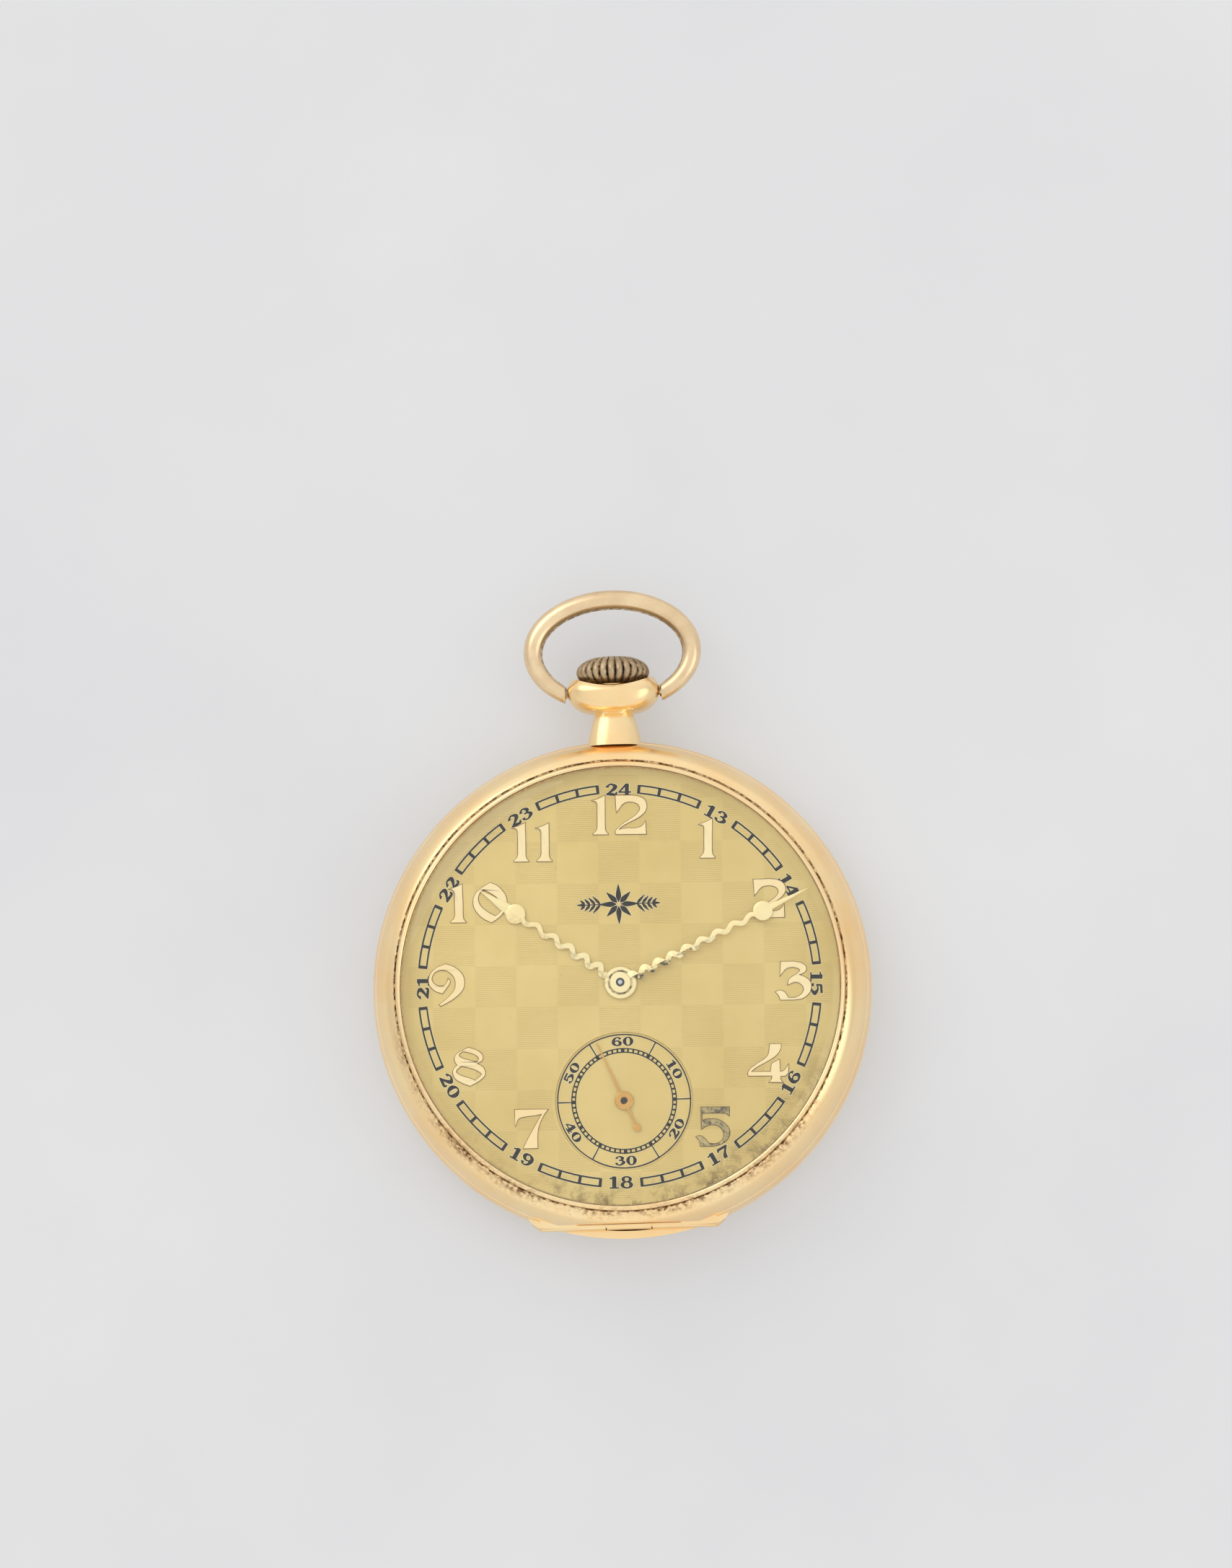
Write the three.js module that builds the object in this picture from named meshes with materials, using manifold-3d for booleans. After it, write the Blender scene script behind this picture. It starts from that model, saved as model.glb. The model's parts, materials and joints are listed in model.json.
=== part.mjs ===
// Open face pocket watch, lying on its back: dial towards +Z, crown and bow towards +Y.
// Millimetres. The origin is the middle of the flat disc that the rear cover rests on.

import * as THREE from 'three';
import { mergeVertices } from 'three/addons/utils/BufferGeometryUtils.js';
import Module from 'manifold-3d';

const wasm = await Module();
wasm.setup();

// ---------------------------------------------------------------- driving dimensions

const CASE_RADIUS = 24;
const REST_RADIUS = 9;
const CRYSTAL_RADIUS = 21.05;
const DIAL_RADIUS = 20.7;
const MOVEMENT_RADIUS = 20.2;
const BRIDGE_RADIUS = 19.9;
const STEM_HEIGHT = 4.9;
const ROUND = 36;

// The train sits a little above the middle of the case.
const CENTRE = new THREE.Vector2(0, 0.35);
const SECONDS = new THREE.Vector2(0, CENTRE.y - 11.35);

// Teeth and modules of the going train and of the motion work under the dial.
const TRAIN = {
  barrel: { teeth: 64, module: 0.2125 },
  centrePinion: { teeth: 8, module: 0.2125 },
  centre: { teeth: 64, module: 0.206 },
  thirdPinion: { teeth: 8, module: 0.206 },
  third: { teeth: 60, module: 0.175 },
  fourthPinion: { teeth: 8, module: 0.175 },
  fourth: { teeth: 60, module: 0.163 },
  escapePinion: { teeth: 6, module: 0.163 },
  cannon: { teeth: 8, module: 0.18 },
  minute: { teeth: 24, module: 0.18 },
  minutePinion: { teeth: 8, module: 0.144 },
  hour: { teeth: 32, module: 0.144 },
  crownWheel: { teeth: 30, module: 0.286 },
  ratchet: { teeth: 35, module: 0.286 },
};

// Heights from the resting face, each [back, front].
const LEVEL = {
  windingWheels: [2.1, 2.35],
  bridge: [2.4, 3.3],
  hairspring: [3.15, 3.3],
  balance: [3.4, 3.8],
  centreWheel: [3.6, 3.85],
  fourthWheel: [4.05, 4.25],
  pallets: [4.6, 4.85],
  thirdWheel: [4.55, 4.8],
  barrel: [4.15, 5.8],
  plate: [5.1, 6.5],
  motionWork: [6.6, 6.72],
  hourWheel: [6.8, 6.95],
  dial: [7.1, 7.45],
  subdialFloor: 7.2,
  secondHand: [7.42, 7.52],
  hourHand: [7.7, 7.86],
  minuteHand: [8.06, 8.22],
};

// Rear cover hinge and cuvette hinge at 6 o'clock, both along X.
const COVER_HINGE = { y: -22.65, z: 4.6, radius: 0.7, length: 8.3, middle: 2.15, pin: 0.3 };
const CUVETTE_HINGE = { y: -21.6, z: 3.05, radius: 0.45, length: 2.6, middle: 1.0, pin: 0.2 };
const HINGE_PLAY = 0.06;

// Pendant, crown and bow along +Y.
const PENDANT_RADIUS = 4.48;
const CUP_RIM_Y = 30.05;
const CUP_SCOOP = 1;
const CROWN_RADIUS = 3.54;
const CROWN_FLUTES = 24;
const STEM_BORE = 0.75;
const BOW_PIVOT_Y = 28.75;
const BOW_WIRE = 0.93;
const BOW_PIN = 0.42;
const BOW_GAP = 4.52;
const BOW_OVAL = { middleY: 32.6, halfWidth: 7.65, halfHeight: 5.05, startAngle: -55.8 };

// Directions of the hands at rest, in degrees from +X.
const HEADING = { hour: 145, minute: 24.8, second: 113.9 };

// ---------------------------------------------------------------- finishes

const finish = (color, roughness, metalness) =>
  new THREE.MeshStandardMaterial({ color, roughness, metalness });

const gold = finish('#e9c79a', 0.3, 1);
const paleGold = finish('#d9c59a', 0.32, 1);
const dialGold = finish('#d2bf7e', 0.5, 0.7);
const handGold = finish('#f6dfa0', 0.3, 1);
const brass = finish('#c9a55c', 0.35, 1);
const nickel = finish('#c9c9c4', 0.35, 1);
const steel = finish('#a9adb2', 0.28, 1);
const ruby = finish('#b0163c', 0.15, 0);
const glass = finish('#f4f6f6', 0.05, 0);
glass.transparent = true;
glass.opacity = 0.2;

// ---------------------------------------------------------------- shape helpers

function solid(geometry) {
  const bare = geometry.clone();
  bare.deleteAttribute('normal');
  bare.deleteAttribute('uv');
  const merged = mergeVertices(bare);
  const corners = merged.index.array;
  const triangles = [];
  for (let i = 0; i < corners.length; i += 3) {
    const [a, b, c] = corners.slice(i, i + 3);
    if (a !== b && b !== c && c !== a) triangles.push(a, b, c);
  }
  return new wasm.Manifold(new wasm.Mesh({
    numProp: 3,
    vertProperties: Float32Array.from(merged.attributes.position.array),
    triVerts: Uint32Array.from(triangles),
  }));
}

function geometryOf(manifold) {
  const { vertProperties, triVerts } = manifold.getMesh();
  const geometry = new THREE.BufferGeometry();
  geometry.setAttribute('position', new THREE.BufferAttribute(vertProperties, 3));
  geometry.setIndex(new THREE.BufferAttribute(triVerts, 1));
  return geometry;
}

function part(name, shape, material) {
  const geometry = shape.isBufferGeometry ? shape : geometryOf(shape);
  geometry.computeVertexNormals();
  const mesh = new THREE.Mesh(geometry, material);
  mesh.name = name;
  return mesh;
}

// A closed profile of [radius, height] points, anticlockwise, turned about Z.
function turned(profile, sides = ROUND) {
  const outline = profile.map(([r, z]) => new THREE.Vector2(r, z));
  if (profile[0][0] > 0) outline.push(outline[0].clone());
  return solid(new THREE.LatheGeometry(outline, sides).rotateX(Math.PI / 2));
}

// The same about Y, for the pendant, crown and stem.
function turnedAlongY(profile, sides) {
  const outline = profile.map(([r, y]) => new THREE.Vector2(r, y));
  if (profile[0][0] > 0) outline.push(outline[0].clone());
  return solid(new THREE.LatheGeometry(outline, sides).translate(0, 0, STEM_HEIGHT));
}

// A flat outline between two heights.
function slab(shape, [bottom, top], curveSegments = 5) {
  const options = { depth: top - bottom, bevelEnabled: false, curveSegments };
  return solid(new THREE.ExtrudeGeometry(shape, options).translate(0, 0, bottom));
}

function disc(centre, radius, levels, sides = 16) {
  const [bottom, top] = levels;
  return turned([[0, bottom], [radius, bottom], [radius, top], [0, top]], sides)
    .translate(centre.x, centre.y, 0);
}

function ring(centre, inner, outer, levels, sides = 20) {
  const [bottom, top] = levels;
  return turned([[inner, bottom], [outer, bottom], [outer, top], [inner, top]], sides)
    .translate(centre.x, centre.y, 0);
}

// A round rod along X between two places on it.
function rodAlongX(radius, from, to, y, z, sides = 20) {
  const rod = new THREE.CylinderGeometry(radius, radius, to - from, sides).rotateZ(Math.PI / 2);
  return solid(rod.translate((from + to) / 2, y, z));
}

function rodAlongY(radius, from, to, x = 0, z = STEM_HEIGHT, sides = 20) {
  return solid(new THREE.CylinderGeometry(radius, radius, to - from, sides)
    .translate(x, (from + to) / 2, z));
}

function block([x0, x1], [y0, y1], [z0, z1]) {
  return solid(new THREE.BoxGeometry(x1 - x0, y1 - y0, z1 - z0)
    .translate((x0 + x1) / 2, (y0 + y1) / 2, (z0 + z1) / 2));
}

const join = (first, ...rest) => rest.reduce((sum, next) => sum.add(next), first);
const cut = (first, ...rest) => rest.reduce((left, next) => left.subtract(next), first);
const origin = new THREE.Vector2(0, 0);
const polar = (radius, degrees) =>
  new THREE.Vector2(radius, 0).rotateAround(origin, THREE.MathUtils.degToRad(degrees));

// ---------------------------------------------------------------- gears

const pitchRadius = ({ teeth, module }) => (teeth * module) / 2;
const meshDistance = (a, b) => pitchRadius(a) + pitchRadius(b);

// Straight pointed teeth: the tip stands 0.75 modules over the pitch circle, the root 1.1 under it.
function gearShape({ teeth, module }, phase = 0, bore = 0, spokes = 0) {
  const tip = pitchRadius({ teeth, module }) + 0.75 * module;
  const root = pitchRadius({ teeth, module }) - 1.1 * module;
  const points = [];
  for (let tooth = 0; tooth < teeth; tooth += 1) {
    const angle = phase + (tooth * 2 * Math.PI) / teeth;
    const gap = angle + Math.PI / teeth;
    points.push(new THREE.Vector2(tip * Math.cos(angle), tip * Math.sin(angle)));
    points.push(new THREE.Vector2(root * Math.cos(gap), root * Math.sin(gap)));
  }
  const shape = new THREE.Shape(points);
  if (bore > 0) shape.holes.push(new THREE.Path().absarc(0, 0, bore, 0, 2 * Math.PI, true));
  for (let spoke = 0; spoke < spokes; spoke += 1) {
    shape.holes.push(spokeWindow(spoke, spokes, root - 0.55, Math.max(bore, 0.35) + 0.85));
  }
  return shape;
}

// One opening between two spokes of a wheel.
function spokeWindow(index, count, outer, inner) {
  const half = Math.PI / count;
  const middle = (index + 0.5) * 2 * half;
  const sweep = (radius) => half - 0.3 / radius;
  const opening = new THREE.Path();
  opening.absarc(0, 0, outer, middle - sweep(outer), middle + sweep(outer), false);
  opening.absarc(0, 0, inner, middle + sweep(inner), middle - sweep(inner), true);
  return opening;
}

// Phase that puts gear b's gap where gear a's tooth points along the line of centres.
function meshPhase(a, aPhase, aCentre, b, bCentre) {
  const line = Math.atan2(bCentre.y - aCentre.y, bCentre.x - aCentre.x);
  const place = ((line - aPhase) * a.teeth) / (2 * Math.PI);
  return line + Math.PI - ((0.5 - place) * 2 * Math.PI) / b.teeth;
}

// The centre at two given distances from two others, on the right of the line between them.
function besideBoth(from, fromDistance, to, toDistance) {
  const apart = from.distanceTo(to);
  const along = (fromDistance ** 2 - toDistance ** 2 + apart ** 2) / (2 * apart);
  const across = Math.sqrt(fromDistance ** 2 - along ** 2);
  return new THREE.Vector2(from.x + across, from.y - along);
}

const BARREL = polar(meshDistance(TRAIN.barrel, TRAIN.centrePinion), 50).add(CENTRE);
const THIRD = besideBoth(CENTRE, meshDistance(TRAIN.centre, TRAIN.thirdPinion),
  SECONDS, meshDistance(TRAIN.third, TRAIN.fourthPinion));
const ESCAPE = polar(meshDistance(TRAIN.fourth, TRAIN.escapePinion), 200).add(SECONDS);
const PALLETS = polar(3.75, 150).add(ESCAPE);
const BALANCE = polar(4.1, 125).add(PALLETS);
const BALANCE_RADIUS = 6;
const MINUTE_WHEEL = polar(meshDistance(TRAIN.cannon, TRAIN.minute), 60).add(CENTRE);
const CROWN_WHEEL = new THREE.Vector2(0, BARREL.y
  + Math.sqrt(meshDistance(TRAIN.crownWheel, TRAIN.ratchet) ** 2 - BARREL.x ** 2));

const PHASE = {
  centrePinion: 0, centre: 0, third: 0, fourth: 0, cannon: 0, minutePinion: 0, crownWheel: 0,
};
PHASE.barrel = meshPhase(TRAIN.centrePinion, 0, CENTRE, TRAIN.barrel, BARREL);
PHASE.thirdPinion = meshPhase(TRAIN.centre, 0, CENTRE, TRAIN.thirdPinion, THIRD);
PHASE.fourthPinion = meshPhase(TRAIN.third, 0, THIRD, TRAIN.fourthPinion, SECONDS);
PHASE.escapePinion = meshPhase(TRAIN.fourth, 0, SECONDS, TRAIN.escapePinion, ESCAPE);
PHASE.minute = meshPhase(TRAIN.cannon, 0, CENTRE, TRAIN.minute, MINUTE_WHEEL);
PHASE.hour = meshPhase(TRAIN.minutePinion, 0, MINUTE_WHEEL, TRAIN.hour, CENTRE);
PHASE.ratchet = meshPhase(TRAIN.crownWheel, 0, CROWN_WHEEL, TRAIN.ratchet, BARREL);

// A stepped arbor about Z through [height, radius] steps.
function arbor(steps, sides = 10) {
  const profile = [[0, steps[0][0]]];
  steps.slice(0, -1).forEach(([height, radius], index) => {
    profile.push([radius, height], [radius, steps[index + 1][0]]);
  });
  profile.push([0, steps[steps.length - 1][0]]);
  return turned(profile, sides);
}

// ---------------------------------------------------------------- case

function caseBand() {
  const band = turned([
    [21.2, 2.85], [22.1, 2.85], [22.6, 3.25], [22.7, 3.95], [CASE_RADIUS, 3.95],
    [CASE_RADIUS, 4.6], [23.9, 5.2], [23.66, 5.9], [21.75, 5.9], [21.75, 7.5],
    [21.05, 7.5], [21.05, 5.85], [20.3, 5.85], [20.3, 5], [20.9, 4.9], [20.9, 3.2],
  ]);
  const { y, z, radius, length, middle, pin } = COVER_HINGE;
  const room = join(rodAlongX(radius + 0.7, -length - 0.2, length + 0.2, y, z),
    block([-length - 0.2, length + 0.2], [-25, y], [3.9, 6]));
  const small = CUVETTE_HINGE;
  const smallRoom = join(rodAlongX(small.radius + 0.35, -4.6, 4.6, small.y, small.z),
    block([-4.6, 4.6], [-23, small.y], [2.6, small.z + 0.6]));
  const knuckles = [-1, 1].flatMap((side) => {
    const [from, to] = [side * (middle + 0.1), side * length].sort((a, b) => a - b);
    const [near, far] = [side * (small.middle + 0.1), side * small.length].sort((a, b) => a - b);
    return [
      rodAlongX(radius, from, to, y, z),
      block([from, to], [y, -21], [z, z + radius]),
      rodAlongX(small.radius, near, far, small.y, small.z, 14),
      block([near, far], [small.y + 0.15, -20.95], [small.z, small.z + 1.1]),
      hingeWing(side),
    ];
  });
  const bores = [
    rodAlongX(pin + HINGE_PLAY, -length - 1, length + 1, y, z),
    rodAlongX(small.pin + 0.05, -small.length - 1, small.length + 1, small.y, small.z, 14),
  ];
  return cut(join(cut(band, room, smallRoom), ...knuckles, pendant()), ...bores, stemHole());
}

// Tapered end of the hinge strip, running out along the rim of the case.
function hingeWing(side) {
  const { y, z, radius, length } = COVER_HINGE;
  const wing = new THREE.Shape();
  wing.moveTo(length - 0.1, y - radius);
  wing.lineTo(length + 1.2, y - radius + 0.75);
  wing.lineTo(length + 2.1, y + 1.15);
  wing.lineTo(length - 0.1, y + 1.15);
  wing.closePath();
  const flat = slab(wing, [z - 0.55, z + radius]);
  return side > 0 ? flat : flat.mirror([1, 0, 0]);
}

// Neck and cupped ball, joined to the case between the bezel and the rear cover.
function pendant() {
  const outside = turnedAlongY([
    [0, 23], [2.6, 23], [2.4, 24.6], [1.85, 26.5], [2.9, 26.8], [4, 27.6], [PENDANT_RADIUS, 28.6],
    [4.4, 29.3], [3.9, CUP_RIM_Y], [3.75, CUP_RIM_Y], [3.4, 29.55], [2.9, 29.28], [0, 29.28],
  ], 18);
  const rimRoom = turned([[0, -1], [24.1, -1], [24.1, 12], [0, 12]]);
  const root = block([-2.3, 2.3], [22.9, 24.6], [4.05, 5.8]);
  const pinHoles = rodAlongX(BOW_PIN + 0.06, -6, 6, BOW_PIVOT_Y, STEM_HEIGHT, 14);
  const core = rodAlongX(1.6, -2, 2, BOW_PIVOT_Y, STEM_HEIGHT, 14);
  return cut(join(cut(outside, rimRoom), root), cut(pinHoles, core), cupScoop());
}

// Hollows the rim of the cup at front and back, so that the crown can be gripped.
function cupScoop() {
  const arch = new THREE.Shape();
  const reach = PENDANT_RADIUS + 0.5;
  arch.moveTo(-reach, CUP_RIM_Y + 1);
  for (let step = -6; step <= 6; step += 1) {
    const across = (step * reach) / 6;
    arch.lineTo(across, CUP_RIM_Y + 0.01 - CUP_SCOOP * (across / PENDANT_RADIUS) ** 2);
  }
  arch.lineTo(reach, CUP_RIM_Y + 1);
  arch.closePath();
  return slab(arch, [-reach, reach]).rotate([0, 90, 0]).translate([0, 0, STEM_HEIGHT]);
}

const stemHole = () => rodAlongY(STEM_BORE, 19, 31);

function bezel() {
  const frame = turned([
    [21.85, 5.95], [23.62, 5.95], [23.62, 6.1], [23.4, 6.8], [22.95, 7.7], [22.4, 8.4],
    [21.72, 8.92], [21.62, 9.04], [21.15, 9.04], [21.15, 8.48], [20.95, 8.48], [20.6, 7.62],
    [21.85, 7.62],
  ]);
  const chord = block([-8.35, 8.35], [-25, COVER_HINGE.y], [5, 10]);
  return cut(frame, chord);
}

function crystal() {
  return turned([
    [0, 9.25], [13, 9.12], [CRYSTAL_RADIUS, 8.55], [CRYSTAL_RADIUS, 8.95],
    [20.2, 9.45], [15, 9.92], [0, 10.05],
  ], ROUND);
}

function rearCover() {
  const shell = turned([
    [0, 0], [REST_RADIUS, 0], [17, 0.5], [20.8, 1.25], [22.7, 2.15], [23.7, 3.1], [CASE_RADIUS, 3.9],
    [23.2, 3.9], [23, 3.2], [22.3, 2.5], [20.5, 1.75], [17, 1.02], [REST_RADIUS, 0.5], [0, 0.5],
  ]);
  const { y, z, radius, length, middle, pin } = COVER_HINGE;
  const room = rodAlongX(radius + 0.15, -length - 0.1, length + 0.1, y, z);
  const wingRoom = block([-length - 2.2, length + 2.2], [y - radius - 0.1, y + 2], [z - 0.7, z + 1]);
  const knuckle = rodAlongX(radius, -middle, middle, y, z);
  const web = block([-middle, middle], [y - 0.6, y + 0.5], [z - 1.3, z]);
  const bore = rodAlongX(pin + HINGE_PLAY, -middle - 1, middle + 1, y, z);
  return cut(join(cut(shell, room, wingRoom), knuckle, web), bore);
}

function cuvette() {
  const { y, z, radius, middle, pin } = CUVETTE_HINGE;
  const shell = turned([
    [0, 1.25], [17, 1.3], [20, 1.85], [20.7, 2.35], [21.8, 2.45], [21.8, 2.78], [20.5, 2.7],
    [19.8, 2.18], [16.9, 1.63], [0, 1.6],
  ]);
  const room = rodAlongX(radius + 0.1, -3.2, 3.2, y, z, 14);
  const knuckle = rodAlongX(radius, -middle, middle, y, z, 14);
  const web = block([-middle, middle], [y - 0.15, y + 0.5], [z - 0.6, z - 0.1]);
  const bore = rodAlongX(pin + 0.05, -middle - 1, middle + 1, y, z, 14);
  return cut(join(cut(shell, room), knuckle, web), bore);
}

function hingePin({ y, z, length, pin }, sides) {
  return rodAlongX(pin, -length, length, y, z, sides);
}

// ---------------------------------------------------------------- bow, crown and stem

// The oval that the wire follows, from one side of the pendant over to the other.
function bowPath() {
  const { middleY, halfWidth, halfHeight, startAngle } = BOW_OVAL;
  const points = [];
  for (let step = 0; step <= 12; step += 1) {
    const angle = THREE.MathUtils.degToRad(startAngle + ((180 - 2 * startAngle) * step) / 12);
    const [x, y] = [halfWidth * Math.cos(angle), middleY + halfHeight * Math.sin(angle)];
    points.push(new THREE.Vector3(x, y, STEM_HEIGHT));
  }
  return new THREE.CatmullRomCurve3(points, false, 'centripetal');
}

// The wire ends in flat faces beside the pendant, with a pin in each.
function bow() {
  const section = new THREE.Shape().absarc(0, 0, BOW_WIRE, 0, 2 * Math.PI, false);
  const wire = solid(new THREE.ExtrudeGeometry(section,
    { steps: 24, curveSegments: 4, extrudePath: bowPath() }));
  const pins = [-1, 1].map((side) => {
    const [from, to] = [side * 3.2, side * 5.2].sort((a, b) => a - b);
    return rodAlongX(BOW_PIN, from, to, BOW_PIVOT_Y, STEM_HEIGHT, 14);
  });
  return join(cut(wire, rodAlongX(6, -BOW_GAP, BOW_GAP, BOW_PIVOT_Y, STEM_HEIGHT)), ...pins);
}

// A flattened onion with a groove between each pair of flutes.
function crown() {
  const profile = [
    [2.2, 29.35], [2.95, 29.75], [3.4, 30.2], [CROWN_RADIUS, 30.65], [3.4, 31.15], [2.85, 31.65],
    [1.8, 32.02],
  ];
  const sides = CROWN_FLUTES * 2;
  const positions = [];
  for (const [radius, y] of profile) {
    for (let side = 0; side < sides; side += 1) {
      const depth = side % 2 === 0 ? 0.94 : 1;
      const angle = (side * 2 * Math.PI) / sides;
      const [x, z] = [radius * depth * Math.sin(angle), radius * depth * Math.cos(angle)];
      positions.push(x, y, z + STEM_HEIGHT);
    }
  }
  const bottom = positions.length / 3;
  positions.push(0, profile[0][1], STEM_HEIGHT, 0, 32.12, STEM_HEIGHT);
  const index = [];
  for (let side = 0; side < sides; side += 1) {
    const next = (side + 1) % sides;
    for (let row = 0; row + 1 < profile.length; row += 1) {
      const [a, b] = [row * sides + side, row * sides + next];
      index.push(a, b, b + sides, a, b + sides, a + sides);
    }
    const last = (profile.length - 1) * sides;
    index.push(bottom, next, side, bottom + 1, last + side, last + next);
  }
  const geometry = new THREE.BufferGeometry();
  geometry.setAttribute('position', new THREE.Float32BufferAttribute(positions, 3));
  geometry.setIndex(index);
  return cut(solid(geometry), rodAlongY(0.66, 28.5, 31.1));
}

function windingStem() {
  return turnedAlongY([[0, 12.3], [0.4, 12.3], [0.4, 14.2], [0.6, 14.2], [0.6, 31], [0, 31]], 16);
}

function windingPinion() {
  return toothedRing(1.85, 0.66, [17.3, 18.8], 14);
}

function slidingPinion() {
  return toothedRing(1.3, 0.66, [15.4, 17.1], 14);
}

// A toothed sleeve about the stem.
function toothedRing(radius, bore, [from, to], teeth) {
  const module = (2 * radius) / (teeth + 1.5);
  const shape = gearShape({ teeth, module }, 0, bore);
  const options = { depth: to - from, bevelEnabled: false, curveSegments: 8 };
  const sleeve = new THREE.ExtrudeGeometry(shape, options);
  return solid(sleeve.rotateX(-Math.PI / 2).translate(0, from, STEM_HEIGHT));
}

// Lever on the dial side that the stem carries along when it is pulled out.
function settingLever() {
  const shape = new THREE.Shape();
  shape.moveTo(-0.9, 0.9);
  shape.absarc(0, 0, 1, Math.PI * 0.75, Math.PI * 1.75, false);
  shape.lineTo(2.4, 0.4);
  shape.lineTo(2.1, 1.3);
  shape.closePath();
  return slab(shape, [6.56, 6.86], 8);
}

// ---------------------------------------------------------------- dial side

function dial() {
  const [back, front] = LEVEL.dial;
  const plate = disc(origin, DIAL_RADIUS, LEVEL.dial, ROUND);
  const pan = disc(SECONDS, 6.95, [6.85, front - 0.05], 32);
  const sink = disc(SECONDS, 6.63, [LEVEL.subdialFloor, 8], 32);
  const feet = [polar(16.5, 150), polar(16.5, 330)].map((at) => disc(at, 0.45, [5.9, back + 0.1], 12));
  return cut(join(plate, pan, ...feet), sink, disc(CENTRE, 1.2, [6, 8]), disc(SECONDS, 0.36, [6, 8], 12));
}

// A stem that waves from side to side, with a round and a leaf point at its far end.
function wavyHand({ boss, bore, stemEnd, discRadius, tip, waves, width, leaf }, levels) {
  const steps = waves * 5;
  const start = boss - 0.15;
  const wave = (side) => Array.from({ length: steps + 1 }, (_, i) => {
    const along = start + ((stemEnd - start) * i) / steps;
    const sway = 0.2 * (1 - 0.4 * (i / steps)) * Math.sin((2 * Math.PI * waves * i) / steps);
    return new THREE.Vector2(along, sway + side * width / 2);
  });
  const stem = new THREE.Shape([...wave(-1), ...wave(1).reverse()]);
  const point = new THREE.Shape();
  point.moveTo(stemEnd, -leaf);
  point.quadraticCurveTo(stemEnd + (tip - stemEnd) * 0.6, -leaf * 0.9, tip, 0);
  point.quadraticCurveTo(stemEnd + (tip - stemEnd) * 0.6, leaf * 0.9, stemEnd, leaf);
  point.closePath();
  const round = disc(new THREE.Vector2(stemEnd, 0), discRadius, levels);
  const hub = disc(origin, boss, levels);
  const hand = join(hub, slab(stem, levels), round, slab(point, levels, 6));
  return cut(hand, disc(origin, bore, [6, 9], 16));
}

function secondHand() {
  const needle = new THREE.Shape();
  needle.moveTo(-2.6, -0.09);
  needle.lineTo(0, -0.17);
  needle.lineTo(6.14, -0.05);
  needle.lineTo(6.14, 0.05);
  needle.lineTo(0, 0.17);
  needle.lineTo(-2.6, 0.09);
  needle.closePath();
  const levels = LEVEL.secondHand;
  const tail = disc(new THREE.Vector2(-2.85, 0), 0.355, levels, 14);
  return cut(join(slab(needle, levels), tail, disc(origin, 0.88, levels)), disc(origin, 0.24, [7, 8], 12));
}

function hourWheel() {
  const [back, front] = LEVEL.hourWheel;
  const wheel = slab(gearShape(TRAIN.hour, PHASE.hour), [back, front]);
  const pipe = disc(origin, 0.97, [back, LEVEL.hourHand[1]], 16);
  return cut(join(wheel, pipe), disc(origin, 0.72, [6, 9], 16));
}

function cannonPinion() {
  const leaves = slab(gearShape(TRAIN.cannon, PHASE.cannon), [6.56, 6.76]);
  const pipe = disc(origin, 0.65, [6.56, LEVEL.minuteHand[1]], 16);
  return cut(join(leaves, pipe), disc(origin, 0.41, [6, 9], 16));
}

function minuteWheel() {
  const wheel = slab(gearShape(TRAIN.minute, PHASE.minute), LEVEL.motionWork);
  const pinion = slab(gearShape(TRAIN.minutePinion, PHASE.minutePinion), [6.72, 6.98]);
  return cut(join(wheel, pinion), disc(origin, 0.25, [6, 8], 12));
}

// ---------------------------------------------------------------- plates and bridges

const CASE_SCREWS = [polar(19.5, 25), polar(19.5, 205)];
const WHEEL_PIVOTS = [THIRD, SECONDS, ESCAPE];

function mainPlate() {
  const [back, front] = LEVEL.plate;
  const body = turned([
    [0, back], [MOVEMENT_RADIUS, back], [MOVEMENT_RADIUS, 5.9], [20.95, 5.9], [20.95, front],
    [20.6, 7.1], [19.4, 7.1], [19.4, front], [0, front],
  ]);
  const pivots = [...WHEEL_PIVOTS, PALLETS, BALANCE].map((at) => disc(at, 0.18, [5, 7], 12));
  const screws = CASE_SCREWS.map((at) => disc(at, 0.56, [5, 6.2], 12));
  const feet = [polar(16.5, 150), polar(16.5, 330)].map((at) => disc(at, 0.5, [5.7, 7], 12));
  const post = disc(MINUTE_WHEEL, 0.2, [front - 0.1, 6.9], 12);
  return join(cut(body,
    ...pivots, ...screws, ...feet,
    disc(BARREL, 7.4, [5, 5.95], 24),
    disc(CENTRE, 1.4, [5, 5.5], 20),
    disc(CENTRE, 0.42, [5, 7], 16),
    disc(BARREL, 0.36, [5, 6.3], 12),
    disc(SECONDS, 0.4, [5, 7], 12),
    disc(SECONDS, 7.1, [6.3, 6.9], 20),
    block([-2.2, 2.2], [14, 19.2], [5, 7]),
    rodAlongY(0.75, 11.9, 21.5)), post);
}

// The back of the movement, cut from a round plate with a wall at its edge that reaches the main plate.
function bridgeBlank() {
  const [back, front] = LEVEL.bridge;
  const reach = LEVEL.plate[0];
  return turned([
    [0, back], [BRIDGE_RADIUS - 0.2, back], [BRIDGE_RADIUS, back + 0.2], [BRIDGE_RADIUS, reach],
    [18.3, reach], [18.3, front], [0, front],
  ]);
}

function barrelBridge() {
  const { x, y } = CROWN_WHEEL;
  const recess = ring(CROWN_WHEEL, 1.1, 4.6, [2, 3], 32);
  return cut(bridgeBlank(),
    block([-21, 21], [-21, 2.1], [0, 6]),
    disc(BARREL, 0.6, [2, 4], 14),
    recess,
    block([x - 2.2, x + 2.2], [y + 2.2, 19.2], [2.9, 6]),
    block([-2.4, 2.4], [18, 21], [3.4, 6]),
    disc(CASE_SCREWS[0], 1.35, [2, 6], 16));
}

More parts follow.
